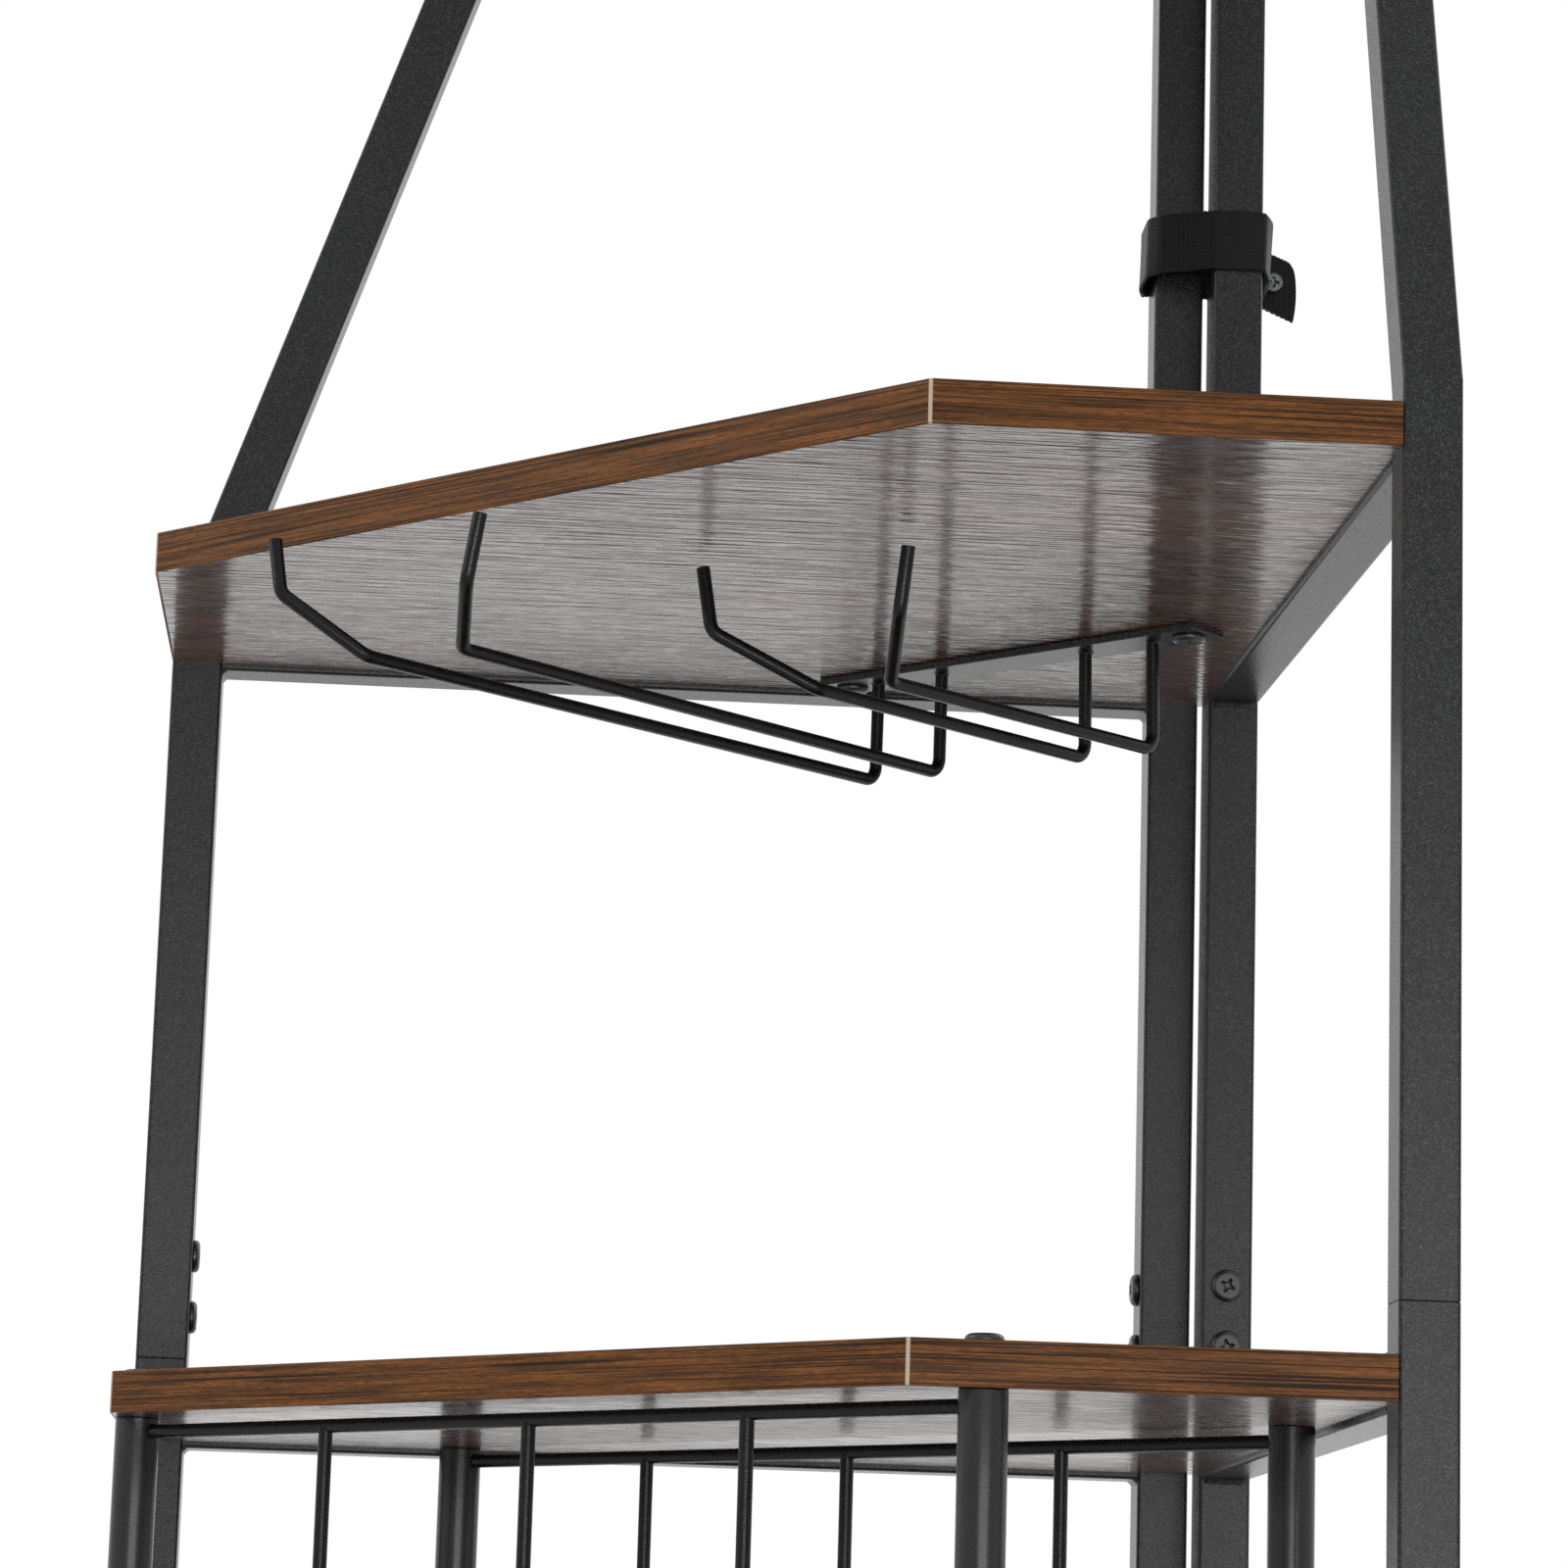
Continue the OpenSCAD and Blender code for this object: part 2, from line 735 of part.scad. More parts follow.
// The webbing goes round the rear posts, and its two ends lie on each other in the
// tail, where the wall screw goes through them
module anti_tip_strap() {
    inner = STRAP_GAP;
    color("#151515") in_corner() difference() {
        union() {
            translate([0, 0, strap_z - strap_w / 2]) linear_extrude(height = strap_w)
                difference() {
                    strap_plan(inner + strap_t);
                    strap_plan(inner);
                }
            strap_tail();
        }
        translate([wall_screw_x, 0, tail_z(wall_screw_x)]) rotate([90, 0, 0])
            cylinder(d = wall_screw_d + 2 * BOLT_GAP, h = 4 * tube_w, center = true);
    }
}

// Height of the tail's middle line at a place along the left wall
function tail_z(x) = strap_z - tail_drop + x * tan(tail_slope);

module strap_tail() {
    translate([0, strap_t - STRAP_GAP, 0]) rotate([90, 0, 0])
        linear_extrude(height = 2 * strap_t) polygon([
            for (p = [[-right_slack, -1], [-right_slack, 1], [-tail_l, 1], [-tail_l, -1]])
                [p[0], tail_z(p[0]) + p[1] * strap_w / 2]
        ]);
}

module wall_screw() {
    y = strap_t - STRAP_GAP;
    neck = 2 * strap_t + STRAP_GAP;
    tip = 2 * strap_t + wall_screw_l;
    color("#5c5d60") in_corner() translate([wall_screw_x, y, tail_z(wall_screw_x)])
        rotate([-90, 0, 0]) difference() {
            rotate_extrude()
                polygon([
                    [0, -tip],
                    [wall_screw_d / 2, wall_screw_point - tip],
                    [wall_screw_d / 2, -neck],
                    [wall_screw_neck_d / 2, -neck],
                    [wall_screw_neck_d / 2, 0],
                    [wall_screw_head / 2, 0],
                    [wall_screw_head / 2, wall_screw_head_h * 0.4],
                    [wall_screw_head * 0.28, wall_screw_head_h],
                    [0, wall_screw_head_h],
                ]);
            for (a = [45, 135]) rotate([0, 0, a])
                translate([-wall_screw_head / 4, -0.5, wall_screw_head_h - 1.2])
                cube([wall_screw_head / 2, 1, 2]);
        }
}

on_side("left") lower_post(outer_x);  // left_lower_outer_post
on_side("left") lower_post(rear_x);  // left_lower_rear_post
on_side("left") upper_outer_post();  // left_upper_outer_post
on_side("left") upper_rear_post();  // left_upper_rear_post
on_side("right") lower_post(outer_x);  // right_lower_outer_post
on_side("right") lower_post(rear_x);  // right_lower_rear_post
on_side("right") upper_outer_post();  // right_upper_outer_post
on_side("right") upper_rear_post();  // right_upper_rear_post

on_side("left") leaning_post();  // left_leaning_post
on_side("right") leaning_post();  // right_leaning_post

on_side("left") crossbar(BOTTOM);  // left_bottom_crossbar
on_side("left") crossbar(SECOND);  // left_second_crossbar
on_side("left") crossbar(COUNTER);  // left_counter_crossbar
on_side("left") crossbar(GLASS);  // left_glass_crossbar
on_side("left") crossbar(TOP);  // left_top_crossbar
on_side("right") crossbar(BOTTOM);  // right_bottom_crossbar
on_side("right") crossbar(SECOND);  // right_second_crossbar
on_side("right") crossbar(COUNTER);  // right_counter_crossbar
on_side("right") crossbar(GLASS);  // right_glass_crossbar
on_side("right") crossbar(TOP);  // right_top_crossbar

joint_sleeves();
post_caps();
foot_inserts();
on_side("left") levelling_foot(outer_x);  // left_outer_foot
on_side("left") levelling_foot(rear_x);  // left_rear_foot
on_side("right") levelling_foot(rear_x);  // right_rear_foot
on_side("right") levelling_foot(outer_x);  // right_outer_foot

board(BOTTOM);  // bottom_board
board(SECOND);  // second_board
board(COUNTER);  // counter_board
board(GLASS);  // glass_board
board(TOP);  // top_board
edge_band(BOTTOM);  // bottom_edge_band
edge_band(SECOND);  // second_edge_band
edge_band(COUNTER);  // counter_edge_band
edge_band(GLASS);  // glass_edge_band
edge_band(TOP);  // top_edge_band

rack_tube(RACK_SPOTS[0]);  // front_left_rack_tube
rack_tube(RACK_SPOTS[1]);  // front_right_rack_tube
rack_tube(RACK_SPOTS[2]);  // rear_left_rack_tube
rack_tube(RACK_SPOTS[3]);  // rear_right_rack_tube
rack_bars(front_panel);  // front_rack_bars
rack_bars(rear_panel);  // rear_rack_bars
rack_uprights(front_panel);  // front_rack_uprights
rack_uprights(rear_panel);  // rear_rack_uprights
bottle_rails(front_panel, -1);  // front_bottle_rails
bottle_rails(rear_panel, 1);  // rear_bottle_rails
rack_tube_nuts();

glass_rack_plate();
lane_wires(-1);  // left_lane_wires
lane_wires(1);  // right_lane_wires
glass_rack_nuts();

frame_bolts();
board_screws();
bottle_rack_bolts();
glass_rack_bolts();
anti_tip_strap();
wall_screw();
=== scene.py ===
"""Corner wine rack: the finished surface of each piece, a studio and the photograph's camera.

Sizes are in millimetres until a mesh is made. Two frames of reference are used, both with
+Z up. The wall frame has its origin where the room's two walls meet, x along the left wall
and y along the right wall. The room frame has +X to the right of someone who faces the rack
and -Y towards them.
"""
from __future__ import annotations

import logging
import math
from dataclasses import dataclass, replace
from enum import Enum
from typing import Iterable, Sequence

import bpy
import numpy as np
from mathutils import Matrix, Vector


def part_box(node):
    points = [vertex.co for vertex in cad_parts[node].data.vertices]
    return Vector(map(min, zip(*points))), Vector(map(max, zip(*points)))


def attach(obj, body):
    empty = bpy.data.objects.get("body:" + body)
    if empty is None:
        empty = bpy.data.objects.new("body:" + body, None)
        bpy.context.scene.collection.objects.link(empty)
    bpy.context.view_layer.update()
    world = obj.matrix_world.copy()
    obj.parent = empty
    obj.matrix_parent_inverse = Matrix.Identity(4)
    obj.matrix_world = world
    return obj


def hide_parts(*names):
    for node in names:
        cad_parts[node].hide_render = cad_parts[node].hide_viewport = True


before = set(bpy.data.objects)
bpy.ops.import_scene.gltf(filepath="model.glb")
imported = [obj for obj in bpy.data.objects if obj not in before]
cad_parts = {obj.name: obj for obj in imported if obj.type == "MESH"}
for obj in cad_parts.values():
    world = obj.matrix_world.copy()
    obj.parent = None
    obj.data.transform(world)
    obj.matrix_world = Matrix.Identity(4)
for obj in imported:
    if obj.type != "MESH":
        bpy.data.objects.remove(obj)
LOG = logging.getLogger("corner_wine_rack")

Array = np.ndarray
Inputs = dict[str | int, object] | Sequence[object]
DIAGONAL = math.sqrt(0.5)
MM = 0.001
X_AXIS, Y_AXIS, UP = np.eye(3)
# Names that the pieces' meshes and the finishes share: a place along and across a piece, and
# the distance from its nearest corner, both in millimetres
ALONG = "along_mm"
CORNER = "corner_mm"
# Turned and woven pieces shade smoothly over a wider turn than flat ones
SOFT_CREASE = math.radians(60)


class Side(Enum):
    """The two side frames; the right one mirrors the left one."""

    LEFT = "left"
    RIGHT = "right"


class Slot(Enum):
    """The material slots; each piece holds one."""

    STEEL = "powder_coated_steel"
    EDGE = "edge_band"
    PLASTIC = "black_plastic"
    ZINC = "zinc_plated_steel"
    WEBBING = "black_webbing"
    FASTENER = "black_fasteners"


@dataclass(frozen=True)
class Plan:
    """The rack's driving sizes, as its solids have them."""

    tube: float = 20.0
    tube_wall: float = 1.2
    tube_round: float = 1.5
    reach: float = 436.0
    rear_gap: float = 1.2
    lean: float = math.radians(18.8)
    bend_rise: float = 23.5
    joint_rise: float = 32.0
    levels: tuple[float, ...] = (95.0, 405.0, 838.0, 1148.0, 1508.0)
    board: float = 15.0
    board_side: float = 175.0
    post_base: float = 12.3
    panel_inset: float = 24.0
    front_margin: float = 0.9
    rear_margin: float = 3.1
    rack_tube: float = 16.0
    wire: float = 5.0
    columns: int = 4
    rows: int = 4
    middle_depth: float = 0.0

    @property
    def facet(self) -> float:
        """Distance from the corner of the room to the boards' front edge."""
        return (self.reach + self.board_side) * DIAGONAL

    @property
    def rear_x(self) -> float:
        """Start of a rear post along its wall."""
        return self.tube + self.rear_gap

    @property
    def bar_start(self) -> float:
        """Start of the crossbars along their wall."""
        return self.rear_x + self.tube

    @property
    def outer_x(self) -> float:
        """Start of an outer post along its wall."""
        return self.reach - self.tube

    @property
    def joint_z(self) -> float:
        """Height of the joint between lower and upper frame."""
        return self.levels[2] + self.joint_rise

    @property
    def bend_z(self) -> float:
        """Height of the bend in the outer posts."""
        return self.levels[3] + self.bend_rise

    @property
    def frame_top(self) -> float:
        """Height at which the posts end."""
        return self.levels[4] + (self.board + self.tube) / 2

    @property
    def front_panel(self) -> float:
        """Depth of the bottle rack's front panel."""
        return self.facet - self.panel_inset

    @property
    def panel_half(self) -> float:
        """Half the distance between the tubes of a panel."""
        tube_place = self.reach - self.front_margin - self.rack_tube / 2
        return tube_place / DIAGONAL - self.front_panel

    @property
    def rear_panel(self) -> float:
        """Depth of the bottle rack's rear panel."""
        tube_place = self.tube + self.rear_margin + self.rack_tube / 2
        return self.panel_half + tube_place / DIAGONAL

    def reach_at(self, z: float) -> float:
        """Reach of a side frame at a height."""
        return self.reach - max(0.0, z - self.bend_z) * math.tan(self.lean)

    def spot(self, across: float, depth: float, z: float) -> Array:
        """A point of the room frame, from its place across, its depth and its height."""
        return np.array([across, self.middle_depth - depth, z])

    def to_room(self, points: Array, side: Side = Side.LEFT) -> Array:
        """Turn points of the wall frame into the room frame.

        Formula: X = (y - x) / sqrt 2, Y = middle depth - (x + y) / sqrt 2. The right side
        frame swaps x and y first.

        Args:
            points: points of the wall frame, in rows.
            side: the side frame that they belong to.

        Returns:
            The points in the room frame.
        """
        points = np.asarray(points, float)
        x, y, z = points[..., 0], points[..., 1], points[..., 2]
        if side is Side.RIGHT:
            x, y = y, x
        return np.stack(
            [(y - x) * DIAGONAL, self.middle_depth - (x + y) * DIAGONAL, z], axis=-1)


def plan_of_frame() -> Plan:
    """The plan, with the place of the room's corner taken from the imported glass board.

    Returns:
        The plan.
    """
    low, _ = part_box("glass_edge_band")
    plan = Plan()
    return replace(plan, middle_depth=low.y / MM + plan.facet)


# Surfaces


@dataclass
class Shell:
    """A closed surface.

    points are its corners, quads and tris index them, and pattern holds for each point its
    place along and across the piece in millimetres.
    """

    points: Array
    quads: Array
    tris: Array
    pattern: Array

    def outward(self) -> "Shell":
        """Turn the faces outwards, so that the volume they enclose is positive.

        Returns:
            The shell itself.
        """
        tri = np.concatenate([self.tris, self.quads[:, [0, 1, 2]], self.quads[:, [0, 2, 3]]])
        a, b, c = (self.points[tri[:, k]] for k in range(3))
        if np.einsum("ij,ij->i", a, np.cross(b, c)).sum() < 0:
            self.quads, self.tris = self.quads[:, ::-1], self.tris[:, ::-1]
        return self

    def placed(self, origin: Sequence[float], x_axis: Sequence[float],
               z_axis: Sequence[float]) -> "Shell":
        """Carry a shell made about the origin to a place.

        Args:
            origin: where its origin goes.
            x_axis: rough direction of its x axis there.
            z_axis: direction of its z axis there.

        Returns:
            The carried shell.
        """
        z_axis = unit(np.asarray(z_axis, float))
        x_axis = unit(np.asarray(x_axis, float) - np.dot(x_axis, z_axis) * z_axis)
        turn = np.stack([x_axis, np.cross(z_axis, x_axis), z_axis])
        return replace(self, points=self.points @ turn + np.asarray(origin, float))


def grid_quads(rows: int, columns: int, ring: bool) -> Array:
    """Quads of a grid of points whose columns close on themselves.

    Args:
        rows: rows of the grid.
        columns: columns of the grid.
        ring: the last row joins the first one too.

    Returns:
        Four indices of points for each quad.
    """
    count = rows if ring else rows - 1
    j, k = np.meshgrid(np.arange(count), np.arange(columns), indexing="ij")
    j2, k2 = (j + 1) % rows, (k + 1) % columns
    return np.stack([j * columns + k, j2 * columns + k, j2 * columns + k2,
                     j * columns + k2], axis=-1).reshape(-1, 4)


def swept(rings: Array, pattern: Array | None = None, ring: bool = False) -> Shell:
    """Close a grid of rings into a shell: quads between rings, a fan at either end.

    Args:
        rings: points, shaped rings x points of a ring x 3.
        pattern: places along and across, shaped as rings with 2 values.
        ring: the last ring joins the first one, and there are no ends.

    Returns:
        The shell, with its faces outwards.
    """
    rows, columns = rings.shape[:2]
    points = rings.reshape(-1, 3)
    if pattern is None:
        along = run_length(rings.mean(axis=1))
        across = np.linalg.norm(rings - np.roll(rings, 1, axis=1), axis=-1)
        across = np.cumsum(across.mean(axis=0)) - across.mean(axis=0)[0]
        pattern = np.stack(np.broadcast_arrays(along[:, None], across[None, :]), axis=-1)
    marks = pattern.reshape(-1, 2)
    tris = np.zeros((0, 3), int)
    if not ring:
        ends = rings[[0, -1]].mean(axis=1)
        points = np.concatenate([points, ends])
        marks = np.concatenate([marks, pattern[[0, -1]].mean(axis=1)])
        k = np.arange(columns)
        k2 = (k + 1) % columns
        first, last = rows * columns, rows * columns + 1
        top = (rows - 1) * columns
        tris = np.concatenate([
            np.stack([np.full(columns, first), k, k2], axis=-1),
            np.stack([np.full(columns, last), top + k2, top + k], axis=-1)])
    return Shell(points, grid_quads(rows, columns, ring), tris, marks).outward()


def unit(vectors: Array) -> Array:
    """Bring vectors, in rows, to length 1."""
    return vectors / np.linalg.norm(vectors, axis=-1, keepdims=True)


def run_length(path: Array) -> Array:
    """Distance of each point of a path from its start, along the path."""
    return np.concatenate([[0.0], np.cumsum(np.linalg.norm(np.diff(path, axis=0), axis=-1))])


def circle(count: int) -> tuple[Array, Array]:
    """Cosines and sines of evenly spaced angles round a circle."""
    angle = np.arange(count) * 2 * math.pi / count
    return np.cos(angle), np.sin(angle)


def turned(radius: Array, z: Array, count: int) -> Array:
    """Rings about +Z: (r cos t, r sin t, z) at evenly spaced angles t.

    Args:
        radius: radius of each ring, or of each point of each ring.
        z: height of each ring.
        count: points of a ring.

    Returns:
        The points, shaped rings x count x 3.
    """
    cos, sin = circle(count)
    radius = np.broadcast_to(radius.reshape(len(z), -1), (len(z), count))
    return np.stack([radius * cos, radius * sin,
                     np.broadcast_to(z[:, None], radius.shape)], axis=-1)


def softened(profile: Sequence[tuple[float, float]], radius: float,
             steps: int = 3) -> list[tuple[float, float]]:
    """Round the inner corners of a profile.

    Formula: each corner p becomes the quadratic curve (1-t)^2 a + 2t(1-t) p + t^2 b between
    the points a and b that lie a radius away from it on either side.

    Args:
        profile: corners of the profile.
        radius: distance over which a corner is rounded, less on a short side.
        steps: steps of each curve.

    Returns:
        The points of the rounded profile.
    """
    points = np.array(profile, float)
    out = [tuple(points[0])]
    for before, corner, after in zip(points[:-2], points[1:-1], points[2:]):
        back, ahead = before - corner, after - corner
        size = min(radius, np.linalg.norm(back) / 2.2, np.linalg.norm(ahead) / 2.2)
        a, b = corner + unit(back) * size, corner + unit(ahead) * size
        t = np.linspace(0, 1, steps + 1)[:, None]
        curve = (1 - t) ** 2 * a + 2 * t * (1 - t) * corner + t ** 2 * b
        out += [tuple(p) for p in curve]
    out.append(tuple(points[-1]))
    return out


def square_section(half: float, radius: float, steps: int = 5) -> Array:
    """Outline of a square with rounded corners: four quarter circles, joined by flats.

    Args:
        half: half the width of the square.
        radius: radius of its corners.
        steps: steps of each quarter circle.

    Returns:
        The outline's points.
    """
    angle = np.linspace(0, math.pi / 2, steps + 1)
    turn = np.arange(4)[:, None] * math.pi / 2
    middle = (half - radius) * math.sqrt(2)
    x = middle * np.cos(turn + math.pi / 4) + radius * np.cos(turn + angle)
    y = middle * np.sin(turn + math.pi / 4) + radius * np.sin(turn + angle)
    return np.stack([x, y], axis=-1).reshape(-1, 2)


@dataclass(frozen=True)
class CutPlane:
    """A plane that ends a tube, and the rounding of the tube's edges there."""

    point: tuple[float, float, float]
    normal: tuple[float, float, float] = (0.0, 0.0, 1.0)
    lip: float = 0.4


def square_tube(middle: Sequence[float], way: Sequence[float], low: CutPlane,
                high: CutPlane, size: float, wall: float, corner: float) -> Shell:
    """A length of square tube between two planes, with rounded lips at its ends.

    Formula: the profile runs up the outer skin, over the upper lip, down the bore and over
    the lower lip. Each of its stations is a rounded square, moved along the tube until it
    meets its plane.

    Args:
        middle: a point on the tube's axis, in the wall frame.
        way: direction of the axis, square to the wall frame's y.
        low: lower end.
        high: upper end.
        size: width of the tube.
        wall: thickness of its wall.
        corner: rounding of its long edges.

    Returns:
        The closed tube, in the wall frame.
    """
    way = unit(np.array(way, float))
    across = np.cross(Y_AXIS, way)
    bend = np.linspace(0, math.pi / 2, 4)
    stations = []
    for end, inwards in ((low, 1.0), (high, -1.0)):
        lip = end.lip
        edge = [(size / 2 - wall + lip * (1 - math.cos(a)), lip * (1 - math.sin(a)))
                for a in bend]
        edge += [(size / 2 - lip * (1 - math.sin(a)), lip * (1 - math.cos(a)))
                 for a in bend]
        stations += [(half, inset, end, inwards) for half, inset in edge[::int(inwards)]]
    rings = []
    for half, inset, plane, inwards in stations:
        radius = max(0.3, corner - (size / 2 - half))
        section = square_section(half, radius)
        ring = np.asarray(middle, float) + section[:, :1] * across + section[:, 1:] * Y_AXIS
        normal = np.array(plane.normal)
        gap = (np.array(plane.point) - ring) @ normal / (way @ normal)
        rings.append(ring + (gap + inwards * inset)[:, None] * way)
    rings = np.array(rings)
    along = rings @ way
    round_it = np.broadcast_to(
        np.linspace(0, 4 * size, rings.shape[1])[None, :], along.shape)
    return swept(rings, np.stack([along, round_it], axis=-1), ring=True)


def bent_path(corners: Sequence[Array], radius: float, step: float = 8.0) -> Array:
    """Points along a line through corners, with an arc of a radius at each inner one.

    Formula: an arc of the turn angle about a centre on the corner's inner side, tangent to
    both legs.

    Args:
        corners: ends and corners of the line.
        radius: radius of the arcs.
        step: turn between an arc's points, in degrees.

    Returns:
        The points.
    """
    corners = [np.asarray(c, float) for c in corners]
    out = [corners[0][None, :]]
    for before, corner, after in zip(corners[:-2], corners[1:-1], corners[2:]):
        way, ahead = unit(corner - before), unit(after - corner)
        turn = math.acos(float(np.clip(way @ ahead, -1, 1)))
        inwards = unit(ahead - (ahead @ way) * way)
        start = corner - radius * math.tan(turn / 2) * way
        angle = np.linspace(0, turn, max(3, math.ceil(math.degrees(turn) / step)) + 1)
        out.append(start + radius * (np.sin(angle)[:, None] * way
                                     + (1 - np.cos(angle))[:, None] * inwards))
    out.append(corners[-1][None, :])
    return np.concatenate(out)


def round_wire(path: Array, diameter: float, across: Array, count: int = 20) -> Shell:
    """A round wire along a path: a circle square to the path at each of its points.

    Args:
        path: points along the wire's middle.
        diameter: diameter of the wire.
        across: a direction that the path never runs in, which squares the circles up.
        count: points round the wire.

    Returns:
        The closed wire.
    """
    legs = unit(np.diff(path, axis=0))
    way = unit(np.concatenate([legs[:1], legs[:-1] + legs[1:], legs[-1:]]))
    u = unit(across - (way @ across)[:, None] * way)
    v = np.cross(way, u)
    cos, sin = circle(count)
    return swept(path[:, None, :] + diameter / 2 * (
        cos[None, :, None] * u[:, None, :] + sin[None, :, None] * v[:, None, :]))


def ripple(along: Array, pitch: float, seed: float) -> Array:
    """Uneven rise of a weld along its length, from three sines.

    Args:
        along: places along the weld.
        pitch: length of the strongest wave.
        seed: start of the waves.

    Returns:
        The rise, between about -1 and 1.
    """
    turn = 2 * math.pi * along / pitch
    return (0.55 * np.sin(turn + seed) + 0.3 * np.sin(0.43 * turn + 2.1 * seed)
            + 0.2 * np.sin(2.3 * turn + 3.7 * seed))


def fillet_bead(root: Array, along: Array, leg_a: Array, leg_b: Array, length: float,
                size: float, seed: float) -> Shell:
    """A weld fillet in the corner between two faces.

    Formula: its section has the corner of the two faces, a leg on either and a slightly
    hollow curve between the legs. The section swells with the ripple along the weld and
    shrinks along a blunt oval at both ends.

    Args:
        root: start of the corner line.
        along: direction of the corner line.
        leg_a: direction away from the corner on the first face.
        leg_b: the same on the second face.
        length: length of the weld.
        size: length of a leg.
        seed: start of the ripple.

    Returns:
        The closed bead.
    """
    unevenness, wave, hollow = 0.05, 4.5, 0.275
    s = np.linspace(0, 1, 36)
    taper = np.sqrt(np.clip(1 - (2 * s - 1) ** 8, 0.02, 1))
    grown = size * taper * (1 + unevenness * ripple(s * length, wave, seed))
    t = np.linspace(0, 1, 8)[:, None]
    both = leg_a + leg_b
    # The root and the legs' ends sink a little into the faces
    curve = (1 - t) * leg_a + t * leg_b - (hollow * t * (1 - t) + 0.02) * both
    section = np.concatenate([-0.06 * both[None, :], curve])
    rings = (root + s[:, None, None] * length * along
             + grown[:, None, None] * section[None, :, :])
    return swept(rings)


def collar_bead(place: Array, axis: Array, radius: float, size: float, seed: float,
                wide: Sequence[float] = (1.0, 0.3, 0.2), narrow: float = 1.0) -> Shell:
    """A ring of weld round a wire where it meets a face or another wire.

    Formula: turned about the wire, a leg along the face and a leg along the wire with a
    hollow curve between them, whose size ripples round the ring. On another wire the ring
    is an ellipse, which only shows along that wire.

    Args:
        place: middle of the wire on the face.
        axis: direction of the wire, away from the face.
        radius: radius of the wire.
        size: length of a leg.
        seed: start of the ripple.
        wide: direction of the ring's full width.
        narrow: share of that width across it.

    Returns:
        The closed collar.
    """
    unevenness, wave, count = 0.07, 0.5, 28
    cos, sin = circle(count)
    grown = size * (1 + unevenness * ripple(np.arange(count) / count, wave, seed))
    t = np.linspace(0, 1, 6)
    r = np.concatenate([[0.0], (1 - t) ** 1.6, [-0.15, -0.15]])
    h = np.concatenate([[-0.35], t ** 1.6, [1.0, -0.35]])
    rings = np.stack([
        (radius + r[:, None] * grown) * cos, (radius + r[:, None] * grown) * sin,
        h[:, None] * grown], axis=-1)
    rings[0, :, :2] = rings[1, :, :2]
    rings[..., 1] *= narrow
    return swept(rings, ring=True).placed(place, wide, axis)


# Finishes


def linear(hex_colour: str) -> tuple[float, float, float, float]:
    """Turn an sRGB hex colour into linear light, with full opacity.

    Args:
        hex_colour: the colour, such as "#3a2119".

    Returns:
        Red, green, blue and opacity, each from 0 to 1.
    """
    value = [int(hex_colour[k:k + 2], 16) / 255 for k in (1, 3, 5)]
    return (*(v / 12.92 if v <= 0.04045 else ((v + 0.055) / 1.055) ** 2.4
              for v in value), 1.0)


def feed(node: bpy.types.Node, inputs: Inputs) -> None:
    """Give a node's inputs their values and links.

    Args:
        node: the node.
        inputs: numbers, vectors, hex colours or other nodes' outputs, either in the order
            of the node's inputs or by their name or number.
    """
    for name, value in inputs.items() if isinstance(inputs, dict) else enumerate(inputs):
        if isinstance(value, bpy.types.NodeSocket):
            node.id_data.links.new(value, node.inputs[name])
        else:
            node.inputs[name].default_value = (
                linear(value) if isinstance(value, str) else value)


def add_node(tree: bpy.types.NodeTree, kind: str, inputs: Inputs = (),
             **settings: object) -> bpy.types.NodeOutputs:
    """Add a node with its settings and links.

    Args:
        tree: the node tree.
        kind: the node's type, without the "ShaderNode" that each begins with.
        inputs: what its inputs are fed with.
        settings: properties of the node.

    Returns:
        The node's outputs.
    """
    node = tree.nodes.new(f"ShaderNode{kind}")
    for name, value in settings.items():
        setattr(node, name, value)
    feed(node, inputs)
    return node.outputs


def in_cells(tree: bpy.types.NodeTree, cell: Sequence[float], turn: float = 0.0,
             along: bpy.types.NodeSocket | None = None) -> bpy.types.NodeSocket:
    """Coordinates that grow by one with each cell of a pattern.

    Args:
        tree: the node tree.
        cell: size of a cell along each axis, in millimetres.
        turn: turn of the pattern about the vertical, in radians.
        along: coordinates in millimetres, or none for the object's own, in metres.

    Returns:
        The coordinates' socket.
    """
    scale = 1.0
    if along is None:
        along, scale = add_node(tree, "TexCoord")["Object"], MM
    return add_node(tree, "Mapping", {
        "Vector": along, "Rotation": (0.0, 0.0, turn),
        "Scale": tuple(size * scale for size in cell)}, vector_type="TEXTURE")["Vector"]


def clouds(tree: bpy.types.NodeTree, cell: Sequence[float], detail: float = 2.0,
           rough: float = 0.5, turn: float = 0.0,
           along: bpy.types.NodeSocket | None = None) -> bpy.types.NodeSocket:
    """Cloudy variation from 0 to 1, one cloud to a cell.

    Args:
        tree: the node tree.
        cell: size of a cell along each axis, in millimetres.
        detail: number of finer layers.
        rough: strength of the finer layers.
        turn: turn of the cells about the vertical, in radians.
        along: coordinates in millimetres, or none for the object's own, in metres.

    Returns:
        The variation's socket.
    """
    return add_node(tree, "TexNoise", {
        "Vector": in_cells(tree, cell, turn, along), "Scale": 1.0, "Detail": detail,
        "Roughness": rough})["Fac"]


